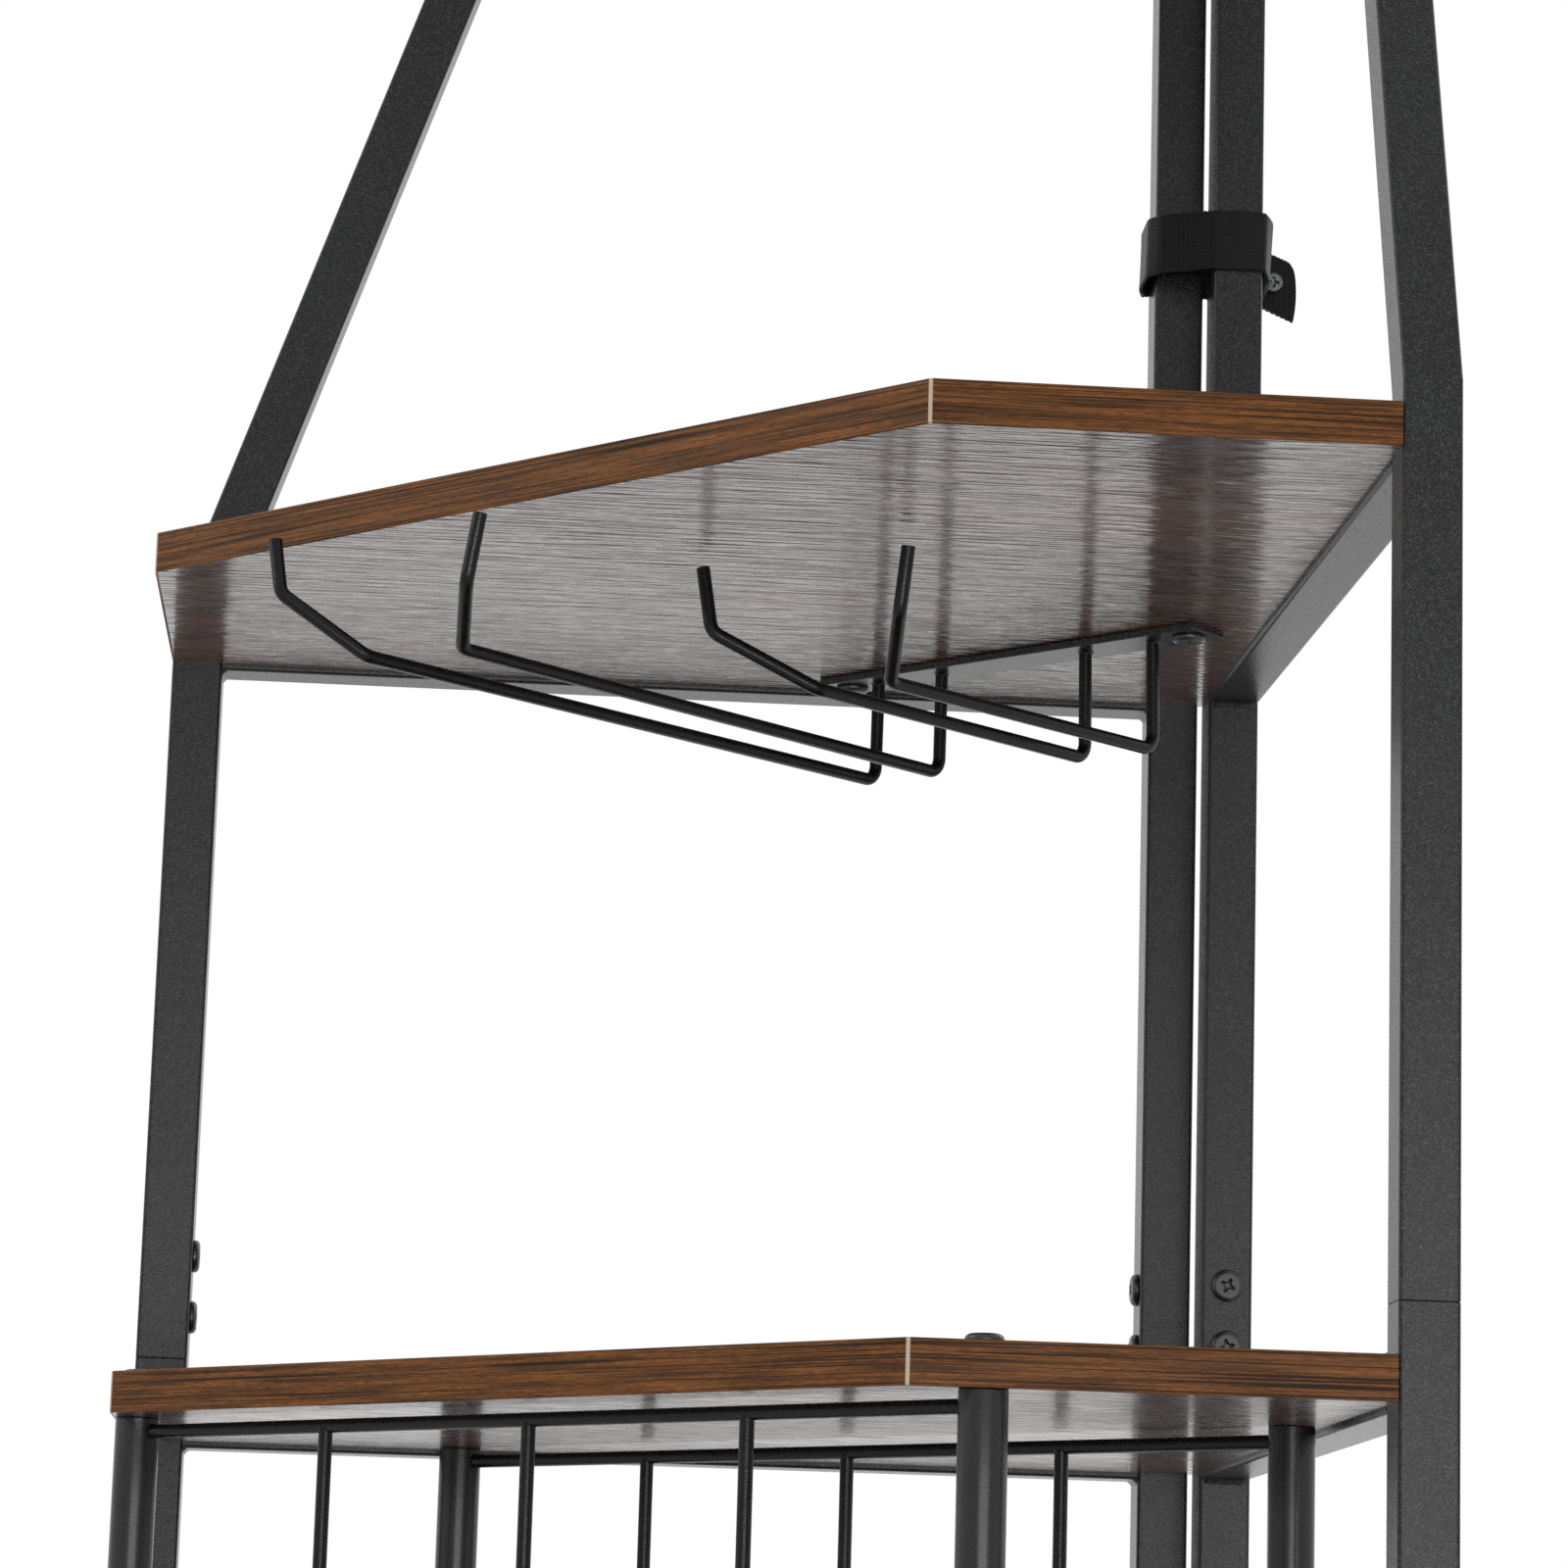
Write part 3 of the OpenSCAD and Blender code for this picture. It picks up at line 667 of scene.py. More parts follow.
def tinted(tree: bpy.types.NodeTree, colour: object, other: object,
           pattern: bpy.types.NodeSocket, rise: tuple[float, float],
           share: tuple[float, float] = (0.0, 1.0)) -> bpy.types.NodeSocket:
    """Blend another tone into a colour as a pattern's value rises.

    Args:
        tree: the node tree.
        colour: the colour, as a hex string or a socket.
        other: the other tone.
        pattern: the pattern.
        rise: values of the pattern between which the share of the other tone changes.
        share: that share at both values.

    Returns:
        The blend's socket.
    """
    factor = add_node(tree, "MapRange", (pattern, *rise, *share))["Result"]
    return add_node(tree, "Mix", {0: factor, 6: colour, 7: other}, data_type="RGBA")[2]


@dataclass(frozen=True)
class Finish:
    """A surface finish. Its sizes are in millimetres."""

    name: str = "finish"

    def surface(self, tree: bpy.types.NodeTree) -> dict[str | int, object]:
        """What the shader is fed with: colour, roughness, bump and the constants."""
        raise NotImplementedError

    def material(self) -> bpy.types.Material:
        """The finish's material, made once.

        Returns:
            The material.
        """
        made = bpy.data.materials.get(self.name)
        if made is None:
            made = bpy.data.materials.new(self.name)
            made.use_nodes = True
            feed(made.node_tree.nodes["Principled BSDF"], self.surface(made.node_tree))
        return made


@dataclass(frozen=True)
class PowderCoat(Finish):
    """Satin black powder coat on steel: a sandy grain, each grain of its own tone.

    The real grain is about 0.2 mm; it is drawn coarser, so that it shows in the render.
    """

    name: str = "satin_black_powder_coat"
    dark: str = "#0a0a0b"
    pale: str = "#131415"
    fleck: str = "#3c3d3f"
    grain: float = 0.32
    grain_depth: float = 0.036
    cloud: float = 38.0
    cloud_share: tuple[float, float] = (0.2, 0.7)
    fleck_rise: tuple[float, float] = (0.72, 0.95)
    ior: float = 1.33
    roughness: tuple[float, float] = (0.12, 0.34)

    def surface(self, tree: bpy.types.NodeTree) -> dict[str | int, object]:
        """Cells of a Voronoi pattern are the grains: domes of random tone and gloss.

        Args:
            tree: the material's node tree.

        Returns:
            What the shader's sockets are fed with.
        """
        grains = add_node(tree, "TexVoronoi", {
            "Vector": in_cells(tree, (self.grain,) * 3), "Scale": 1.0})
        pick = add_node(tree, "SeparateColor", {"Color": grains["Color"]})
        cloud = clouds(tree, (self.cloud,) * 3)
        tone = tinted(tree, self.dark, self.pale, cloud, (0.3, 0.7), self.cloud_share)
        gloss = add_node(tree, "MapRange", (pick["Green"], 0.0, 1.0, *self.roughness))
        dome = add_node(tree, "MapRange", (grains["Distance"], 0.0, 0.8, 1.0, 0.0))
        bump = add_node(tree, "Bump", {
            "Height": dome["Result"], "Strength": 1.0, "Distance": self.grain_depth * MM})
        return {"Base Color": tinted(tree, tone, self.fleck, pick["Red"], self.fleck_rise),
                "Roughness": gloss["Result"], "Normal": bump["Normal"], "IOR": self.ior}


@dataclass(frozen=True)
class Laminate(Finish):
    """Brown melamine laminate, half gloss, with embossed pores along the wood grain.

    The pores are drawn coarser than real ones, so that they show in the render.
    """

    name: str = "dark_walnut_laminate"
    heart: str = "#3a2119"
    sap: str = "#5c3a2c"
    pore: str = "#1c110d"
    band_cell: tuple[float, float, float] = (14.0, 190.0, 60.0)
    figure_cell: tuple[float, float, float] = (55.0, 420.0, 80.0)
    pore_cell: tuple[float, float, float] = (2.4, 36.0, 40.0)
    pore_rise: tuple[float, float] = (0.52, 0.66)
    pore_depth: float = 1.0
    grain_turn: float = -math.pi / 4
    roughness: tuple[float, float] = (0.2, 0.5)
    coat_roughness: float = 0.14
    ior: float = 1.52

    def surface(self, tree: bpy.types.NodeTree) -> dict[str | int, object]:
        """Bands of tone along the grain, cut by short dark pores that are also pressed in.

        Args:
            tree: the material's node tree.

        Returns:
            What the shader's sockets are fed with.
        """
        bands = clouds(tree, self.band_cell, 3.0, 0.55, self.grain_turn)
        figure = clouds(tree, self.figure_cell, turn=self.grain_turn)
        ridge = clouds(tree, self.pore_cell, 3.0, 0.45, self.grain_turn)
        pit = add_node(tree, "MapRange", (ridge, *self.pore_rise, 0.0, 1.0))["Result"]
        tone = tinted(tree, self.heart, self.sap, bands, (0.35, 0.65))
        tone = tinted(tree, tone, self.pore, figure, (0.4, 0.62), (0.0, 0.45))
        gloss = add_node(tree, "MapRange", (pit, 0.0, 1.0, *self.roughness))["Result"]
        height = add_node(tree, "MapRange", (ridge, 0.25, 0.75, 1.0, 0.0))["Result"]
        pressed = add_node(tree, "Bump", {
            "Height": height, "Strength": 1.0, "Distance": self.pore_depth * MM})["Normal"]
        return {"Base Color": tinted(tree, tone, self.pore, pit, (0.0, 1.0), (0.0, 0.8)),
                "Roughness": gloss, "Normal": pressed, "Coat Normal": pressed,
                "IOR": self.ior, "Coat Weight": 1.0, "Coat Roughness": self.coat_roughness}


@dataclass(frozen=True)
class EdgeBandWood(Finish):
    """Printed wood-look edge band: orange brown, with thin dark streaks along its length, and a
    pale painted highlight at each rounded turn.
    """

    name: str = "wood_print_edge_band"
    warm: str = "#764820"
    deep: str = "#422810"
    streak: str = "#1a0f07"
    # Pale tone of the painted highlight on the band's rounded turns
    turn_highlight: str = "#b3a191"
    tone_cell: tuple[float, float, float] = (50.0, 1.6, 1.0)
    streak_cell: tuple[float, float, float] = (150.0, 0.66, 1.0)
    fibre_cell: tuple[float, float, float] = (4.5, 0.34, 1.0)
    highlight_width: float = 0.9
    highlight_share: float = 0.8
    streak_depth: float = 0.04
    roughness: tuple[float, float] = (0.36, 0.5)
    ior: float = 1.2

    def surface(self, tree: bpy.types.NodeTree) -> dict[str | int, object]:
        """Streaks follow the band's own length, and a pale painted highlight lies on its
        rounded corners.

        Args:
            tree: the material's node tree.

        Returns:
            What the shader's sockets are fed with.
        """
        uv = add_node(tree, "UVMap", uv_map=ALONG)["UV"]
        tone = clouds(tree, self.tone_cell, 3.0, 0.6, along=uv)
        streaks = clouds(tree, self.streak_cell, along=uv)
        fibres = clouds(tree, self.fibre_cell, 2.0, 0.6, along=uv)
        corner = add_node(tree, "Attribute", attribute_name=CORNER)["Fac"]
        colour = tinted(tree, self.warm, self.deep, tone, (0.36, 0.64))
        colour = tinted(tree, colour, self.streak, streaks, (0.54, 0.61), (0.0, 0.92))
        colour = tinted(tree, colour, self.streak, fibres, (0.42, 0.66), (0.0, 0.62))
        # Painted highlight: the band turns pale within 0.9 mm of each rounded turn
        colour = tinted(tree, colour, self.turn_highlight, corner,
                        (self.highlight_width * 0.6, self.highlight_width), (self.highlight_share, 0.0))
        gloss = add_node(tree, "MapRange", (streaks, 0.4, 0.65, *self.roughness))["Result"]
        height = add_node(tree, "MapRange", (streaks, 0.45, 0.62, 1.0, 0.0))["Result"]
        bump = add_node(tree, "Bump", {
            "Height": height, "Strength": 1.0, "Distance": self.streak_depth * MM})
        return {"Base Color": colour, "Roughness": gloss, "Normal": bump["Normal"],
                "IOR": self.ior}


@dataclass(frozen=True)
class Webbing(Finish):
    """Black polyester webbing: slanted picks in columns, half a pick apart, a bit fuzzy, with
    painted shade in the hollows between the threads.
    """

    name: str = "black_polyester_webbing"
    # Painted shade: the darker tone of the hollows between the raised threads
    thread: str = "#131212"
    gap: str = "#030303"
    pick: float = 1.5
    column: float = 2.0
    slope: float = 0.42
    wobble: float = 3.0
    fuzz: float = 0.4
    thread_depth: float = 0.35
    roughness: float = 0.42
    ior: float = 1.25
    sheen: float = 0.02
    sheen_roughness: float = 0.4

    def surface(self, tree: bpy.types.NodeTree) -> dict[str | int, object]:
        """The product of a sine along the strap and a slanted one across it.

        Args:
            tree: the material's node tree.

        Returns:
            What the shader's sockets are fed with.
        """
        uv = add_node(tree, "UVMap", uv_map=ALONG)["UV"]
        parts = add_node(tree, "SeparateXYZ", (uv,))
        wobble = clouds(tree, (self.wobble,) * 3, 1.0)
        slant = add_node(tree, "Math", (parts["X"], self.slope, parts["Y"]),
                         operation="MULTIPLY_ADD")[0]
        slant = add_node(tree, "Math", (wobble, 0.5, slant), operation="MULTIPLY_ADD")[0]
        waves = []
        for length, value in ((2 * self.column, parts["X"]), (self.pick, slant)):
            turns = add_node(tree, "Math", (value, 2 * math.pi / length),
                             operation="MULTIPLY")[0]
            waves.append(add_node(tree, "Math", (turns,), operation="SINE")[0])
        weave = add_node(tree, "Math", waves, operation="MULTIPLY")[0]
        fuzz = clouds(tree, (self.fuzz,) * 3, 1.0)
        raised = add_node(tree, "MapRange", (weave, -0.9, 0.9, 0.0, 1.0))["Result"]
        height = add_node(tree, "Math", (fuzz, 0.3, raised), operation="MULTIPLY_ADD")[0]
        bump = add_node(tree, "Bump", {
            "Height": height, "Strength": 1.0, "Distance": self.thread_depth * MM})
        # The colour darkens from the threads' tops into the hollows between them: painted shade
        return {"Base Color": tinted(tree, self.gap, self.thread, raised, (0.35, 0.95)),
                "Normal": bump["Normal"], "Roughness": self.roughness, "IOR": self.ior,
                "Sheen Weight": self.sheen, "Sheen Roughness": self.sheen_roughness}


@dataclass(frozen=True)
class Speckled(Finish):
    """A hard finish with a fine mottle: black oxide, zinc plate or moulded plastic.

    The mottle is drawn coarser than real, so that it shows in the render.
    """

    dark: str = "#141517"
    pale: str = "#1f2022"
    mottle: float = 1.2
    depth: float = 0.02
    roughness: tuple[float, float] = (0.26, 0.4)
    metallic: float = 0.0
    ior: float = 1.5

    def surface(self, tree: bpy.types.NodeTree) -> dict[str | int, object]:
        """One mottle varies the colour, the gloss and, slightly, the height.

        Args:
            tree: the material's node tree.

        Returns:
            What the shader's sockets are fed with.
        """
        mottle = clouds(tree, (self.mottle,) * 3, 3.0, 0.6)
        gloss = add_node(tree, "MapRange", (mottle, 0.3, 0.7, *self.roughness))
        bump = add_node(tree, "Bump", {
            "Height": mottle, "Strength": 1.0, "Distance": self.depth * MM})
        fed: dict[str | int, object] = {
            "Base Color": tinted(tree, self.dark, self.pale, mottle, (0.35, 0.65)),
            "Roughness": gloss["Result"], "Normal": bump["Normal"],
            "Metallic": self.metallic}
        return fed if self.metallic else fed | {"IOR": self.ior}


@dataclass(frozen=True)
class FloorPaint(Finish):
    """Matt pale paint, with wide and very faint clouds."""

    name: str = "matt_pale_floor"
    grey: str = "#efefee"
    pale: str = "#f4f4f3"
    cloud: float = 900.0
    roughness: float = 0.9

    def surface(self, tree: bpy.types.NodeTree) -> dict[str | int, object]:
        """One cloud varies the colour.

        Args:
            tree: the material's node tree.

        Returns:
            What the shader's sockets are fed with.
        """
        cloud = clouds(tree, (self.cloud,) * 3)
        tone = add_node(tree, "Mix", {0: cloud, 6: self.grey, 7: self.pale},
                        data_type="RGBA")[2]
        return {"Base Color": tone, "Roughness": self.roughness}


POWDER_COAT = PowderCoat()
# Painted shade: the wires wear the frame's powder coat, drawn darker and with fainter flecks,
# since thin wires look darker from what they reflect; the shallower grain is the coat's own
# smoothness
WIRE_COAT = PowderCoat(name="smooth_shaded_black_powder_coat", dark="#070707", pale="#0d0d0d",
                       fleck="#161617", grain=0.8, grain_depth=0.02, ior=1.27)
TUBE_COAT = PowderCoat(name="satin_black_powder_coat_fine", dark="#0c0c0d",
                       pale="#141415", fleck="#1c1c1d", grain=0.5, grain_depth=0.01,
                       ior=1.4, roughness=(0.2, 0.28))
LAMINATE = Laminate()
EDGE_BAND = EdgeBandWood()
WEBBING = Webbing()
BLACK_OXIDE = Speckled(name="black_oxide_steel")
ZINC_PLATE = Speckled(name="zinc_plated_steel_bright", dark="#8d9094", pale="#b4b6b8",
                      mottle=2.5, roughness=(0.22, 0.36), metallic=1.0)
SCREW_PLATE = Speckled(name="zinc_plated_steel_dull", dark="#4e5053", pale="#6f7174",
                       roughness=(0.32, 0.48), metallic=1.0)
POLYETHYLENE = Speckled(name="moulded_black_polyethylene", dark="#131314",
                        pale="#1b1b1c", mottle=0.9, depth=0.03, roughness=(0.42, 0.56))


# Pieces


@dataclass
class Piece:
    """A finished piece: its shells, finish and the solids that it stands for."""

    name: str
    shells: list[Shell]
    finish: Finish
    slot: Slot
    stands_for: tuple[str, ...] = ()
    body: str = "rack"
    flats: bool = False
    crease: float = math.radians(40)

    def build(self) -> bpy.types.Object:
        """Put the shells into one mesh and let it ride on its body.

        Returns:
            The piece's object, at the origin with its place in its mesh.
        """
        sizes = [len(s.points) for s in self.shells]
        starts = np.concatenate([[0], np.cumsum(sizes)[:-1]])
        points = np.concatenate([s.points for s in self.shells]) * MM
        faces: list[list[int]] = []
        for start, shell in zip(starts, self.shells):
            faces += (shell.quads + start).tolist() + (shell.tris + start).tolist()
        mesh = bpy.data.meshes.new(self.name)
        mesh.from_pydata(points.tolist(), [], faces)
        pattern = np.concatenate([s.pattern for s in self.shells])
        corners = np.zeros(len(mesh.loops), np.int32)
        mesh.loops.foreach_get("vertex_index", corners)
        layer = mesh.uv_layers.new(name=ALONG)
        layer.data.foreach_set("uv", pattern[corners].astype(np.float32).ravel())
        mesh.shade_smooth()
        mesh.set_sharp_from_angle(angle=self.crease)
        mesh.materials.append(self.finish.material())
        made = bpy.data.objects.new(self.name, mesh)
        bpy.context.scene.collection.objects.link(made)
        if self.flats:
            made.modifiers.new("flat_faces", "WEIGHTED_NORMAL").keep_sharp = True
        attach(made, self.body)
        if self.stands_for:
            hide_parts(*self.stands_for)
        LOG.info("%s: %d faces", self.name, len(faces))
        return made


def dress_solids(names: Iterable[str], finish: Finish) -> None:
    """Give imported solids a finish, in place of their plain colour.

    Args:
        names: names of their nodes.
        finish: the finish.
    """
    for name in names:
        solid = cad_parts[name]
        solid.data.materials.clear()
        solid.data.materials.append(finish.material())
        LOG.info("%s: packed solid in %s", name, finish.name)


@dataclass
class SideFrame:
    """A welded side frame: posts, crossbars and their welds."""

    plan: Plan
    side: Side
    bead: float = 2.3
    bead_inset: float = 1.2
    mitre_lip: float = 0.05

    def tube(self, middle: Sequence[float], way: Sequence[float], low: CutPlane,
             high: CutPlane) -> Shell:
        """A length of the frame's tube, in the room frame.

        Args:
            middle: a point on the tube's axis, in the wall frame.
            way: direction of the axis.
            low: lower end.
            high: upper end.

        Returns:
            The closed tube.
        """
        plan = self.plan
        shell = square_tube(middle, way, low, high, plan.tube, plan.tube_wall,
                            plan.tube_round)
        shell.points = plan.to_room(shell.points, self.side)
        return shell.outward()

    def posts(self) -> dict[str, Shell]:
        """The five tubes of the frame's two posts.

        Returns:
            The tubes, by the name of the solid that each stands for.
        """
        plan = self.plan
        half = plan.tube / 2
        outer = (plan.reach - half, half, 0.0)
        rear = (plan.rear_x + half, half, 0.0)
        foot = CutPlane((0.0, 0.0, plan.post_base))
        joint = CutPlane((0.0, 0.0, plan.joint_z))
        top = CutPlane((0.0, 0.0, plan.frame_top))
        kink = (plan.reach, half, plan.bend_z)
        mitre = CutPlane(kink, (-math.sin(plan.lean / 2), 0.0, math.cos(plan.lean / 2)),
                         self.mitre_lip)
        way = math.cos(plan.lean) * UP - math.sin(plan.lean) * X_AXIS
        inwards = -math.cos(plan.lean) * X_AXIS - math.sin(plan.lean) * UP
        return {
            "lower_outer_post": self.tube(outer, UP, foot, joint),
            "lower_rear_post": self.tube(rear, UP, foot, joint),
            "upper_rear_post": self.tube(rear, UP, joint, top),
            "upper_outer_post": self.tube(outer, UP, joint, mitre),
            "leaning_post": self.tube(np.array(kink) + half * inwards, way, mitre, top),
        }

    def welds(self) -> list[Shell]:
        """Fillets above and below both ends of each crossbar, but none above the top one.

        Returns:
            The beads, in the room frame.
        """
        plan = self.plan
        beads = []
        drop = (plan.tube - plan.board) / 2
        last = len(plan.levels) - 1
        for number, level in enumerate(plan.levels):
            for over in (False, True) if number < last else (False,):
                z = level - drop + plan.tube * over
                for outer in (False, True):
                    x = plan.outer_x if outer else plan.bar_start
                    leg_post = UP if over else -UP
                    if outer and number == last:
                        x = plan.reach_at(z) - plan.tube / math.cos(plan.lean)
                        leg_post = (math.sin(plan.lean) * X_AXIS
                                    + math.cos(plan.lean) * leg_post)
                    bead = fillet_bead(
                        np.array([x, self.bead_inset, z]), Y_AXIS,
                        -X_AXIS if outer else X_AXIS, leg_post,
                        plan.tube - 2 * self.bead_inset, self.bead,
                        1.7 * number + 3.1 * over + 5.3 * outer)
                    bead.points = plan.to_room(bead.points, self.side)
                    beads.append(bead.outward())
        return beads

    def build(self) -> None:
        """Build and dress the frame's posts and welds."""
        name = self.side.value
        for part, shell in self.posts().items():
            node = f"{name}_{part}"
            Piece(f"{node}_tube", [shell], POWDER_COAT, Slot.STEEL, (node,),
                  flats=True).build()
        Piece(f"{name}_frame_welds", self.welds(), POWDER_COAT, Slot.STEEL).build()


@dataclass
class EdgeBands:
    """The bands glued to the boards' visible edges."""

    plan: Plan
    thickness: float = 1.0
    lip: float = 0.45
    turn_radius: float = 1.2
    skin_margin: float = 0.85
    spacing: float = 12.0
    pattern_shift: float = 40.0

    def outline(self, level: int) -> tuple[Array, Array]:
        """The band's path round a board, at its outer skin.

        Formula: straight runs between the board's corners, with a small arc at each turn.

        Args:
            level: number of the board, from the bottom one.

        Returns:
            Points in the wall frame, and each point's distance from the nearest turn.
        """
        plan = self.plan
        top = level == len(plan.levels) - 1
        reach = plan.reach_at(plan.levels[level] + plan.board) if top else plan.reach
        turn = plan.board_side * reach / plan.reach
        corners = [np.array(c, float) for c in (
            (reach, plan.tube, 0), (reach, turn, 0), (turn, reach, 0), (plan.tube, reach, 0))]
        arcs = bent_path(corners, self.turn_radius, step=9.0)
        path = [arcs[0]]
        for before, after in zip(arcs[:-1], arcs[1:]):
            length = np.linalg.norm(after - before)
            share = np.linspace(0, 1, max(2, int(length / self.spacing) + 1))[1:, None]
            path += list(before + (after - before) * share)
        path = np.array(path)
        gap = np.min([np.linalg.norm(path - c, axis=-1) for c in corners[1:3]], axis=0)
        return path, gap

    def band(self, level: int) -> tuple[Shell, Array]:
        """The band round a board: its section, with two rounded lips, carried along a path.

        Args:
            level: number of the board, from the bottom one.

        Returns:
            The band, and each of its points' distance from the nearest turn.
        """
        plan = self.plan
        path, gap = self.outline(level)
        out = np.cross(unit(np.gradient(path, axis=0)), UP)
        height, lip, deep = plan.board, self.lip, self.thickness
        bend = np.linspace(0, math.pi / 2, 4)
        outer = [(-lip * (1 - math.sin(a)), lip * (1 - math.cos(a))) for a in bend]
        skin = np.linspace(self.skin_margin, height - self.skin_margin, 5)
        section = np.array(
            [(-deep, height), (-deep, 0.0)] + outer + [(0.0, z) for z in skin]
            + [(x, height - z) for x, z in reversed(outer)])
        rings = (path[:, None, :] + section[None, :, :1] * out[:, None, :]
                 + section[None, :, 1:] * UP)
        rings[..., 2] += plan.levels[level]
        # Each band shows another part of the print
        pattern = np.stack(np.broadcast_arrays(
            run_length(path)[:, None], section[None, :, 1] + self.pattern_shift * level),
            axis=-1)
        shell = swept(plan.to_room(rings), pattern)
        spread = np.broadcast_to(gap[:, None], rings.shape[:2]).ravel()
        return shell, np.concatenate([spread, gap[[0, -1]]])

    def build(self) -> None:
        """Build and dress the five bands."""
        for level, name in enumerate(("bottom", "second", "counter", "glass", "top")):
            shell, gap = self.band(level)
            node = f"{name}_edge_band"
            made = Piece(f"{node}_print", [shell], EDGE_BAND, Slot.EDGE, (node,),
                         flats=True).build()
            layer = made.data.attributes.new(CORNER, "FLOAT", "POINT")
            layer.data.foreach_set("value", gap.astype(np.float32))


@dataclass
class BottleRack:
    """The rack for lying bottles: four tubes and two panels of wire."""

    plan: Plan
    bar_drop: float = 5.0
    shoulder: float = 0.72
    turned_in: float = 1.0
    end_run: float = 30.0
    into_tube: float = 0.8
    bar_weld: float = 1.7
    upright_weld: float = 1.8
    upright_gap: float = 1.0
    weld_drop: float = 1.2
    tube_sides: int = 56

    def heights(self) -> tuple[float, float]:
        """Heights of the lowest and the highest bar."""
        plan = self.plan
        return (plan.levels[1] + plan.board + self.bar_drop,
                plan.levels[2] - self.bar_drop)

    def tubes(self) -> None:
        """Build the four upright tubes, whose ends are turned over by a small shoulder."""
        plan = self.plan
        low, high = plan.levels[1] + plan.board, plan.levels[2]
        outer = plan.rack_tube / 2
        bore, run = outer - plan.tube_wall, self.end_run
        radius, z = np.array(softened([
            (bore, low + self.turned_in), (bore, low), (outer, low), (outer, low + run),
            (outer, high - run), (outer, high), (bore, high), (bore, high - self.turned_in)],
            self.shoulder, 4)).T
        shell = swept(turned(radius, z, self.tube_sides), ring=True)
        for row, depth in (("front", plan.front_panel), ("rear", plan.rear_panel)):
            for side, sign in (("left", -1), ("right", 1)):
                node = f"{row}_{side}_rack_tube"
                placed = replace(shell, points=shell.points + plan.spot(
                    sign * plan.panel_half, depth, 0.0))
                Piece(f"{node}_coated", [placed], TUBE_COAT, Slot.STEEL,
                      (node,)).build()

    def cross_wire(self, depth: float, z: float, seed: float) -> list[Shell]:
        """A wire from tube to tube, with a weld round either end.

        Args:
            depth: depth of the wire.
            z: its height.
            seed: start of the welds' ripples.

        Returns:
            The wire and both welds.
        """
        plan = self.plan
        reach = plan.panel_half - plan.rack_tube / 2 + self.into_tube
        share = np.linspace(-1, 1, 25)
        path = plan.spot(0.0, depth, z) + share[:, None] * reach * X_AXIS
        shells = [round_wire(path, plan.wire, UP)]
        for sign in (-1, 1):
            shells.append(collar_bead(
                plan.spot(sign * reach, depth, z), -sign * X_AXIS, plan.wire / 2,
                self.bar_weld, seed + sign, UP, narrow=0.75))
        return shells

    def panels(self) -> None:
        """Build the bars, uprights and rails of both panels."""
        plan = self.plan
        low, high = self.heights()
        pitch = 2 * plan.panel_half / plan.columns
        rise = (high - low) / plan.rows
        for row, depth, inwards in (("front", plan.front_panel, -1),
                                    ("rear", plan.rear_panel, 1)):
            seed = depth
            bars = self.cross_wire(depth, low, seed) + self.cross_wire(depth, high, seed + 4)
            Piece(f"{row}_rack_bars_coated", bars, WIRE_COAT, Slot.STEEL,
                  (f"{row}_rack_bars",)).build()
            uprights = []
            for i in range(1, plan.columns):
                across = -plan.panel_half + i * pitch
                ends = (low + self.upright_gap, high - self.upright_gap)
                path = plan.spot(across, depth, 0.0) + np.linspace(*ends, 30)[:, None] * UP
                uprights.append(round_wire(path, plan.wire, X_AXIS))
                for z, way in ((low + self.weld_drop, UP), (high - self.weld_drop, -UP)):
                    uprights.append(collar_bead(
                        plan.spot(across, depth, z), way, plan.wire / 2, self.upright_weld,
                        seed + 2.0 * i + z, X_AXIS, narrow=0.6))
            Piece(f"{row}_rack_uprights_coated", uprights, WIRE_COAT, Slot.STEEL,
                  (f"{row}_rack_uprights",)).build()
            rails = []
            for i in range(1, plan.rows):
                rails += self.cross_wire(depth + inwards * plan.wire, low + i * rise,
                                         seed + 9.0 * i)
            Piece(f"{row}_bottle_rails_coated", rails, WIRE_COAT, Slot.STEEL,
                  (f"{row}_bottle_rails",)).build()

    def build(self) -> None:
        """Build and dress the rack."""
        self.tubes()
        self.panels()


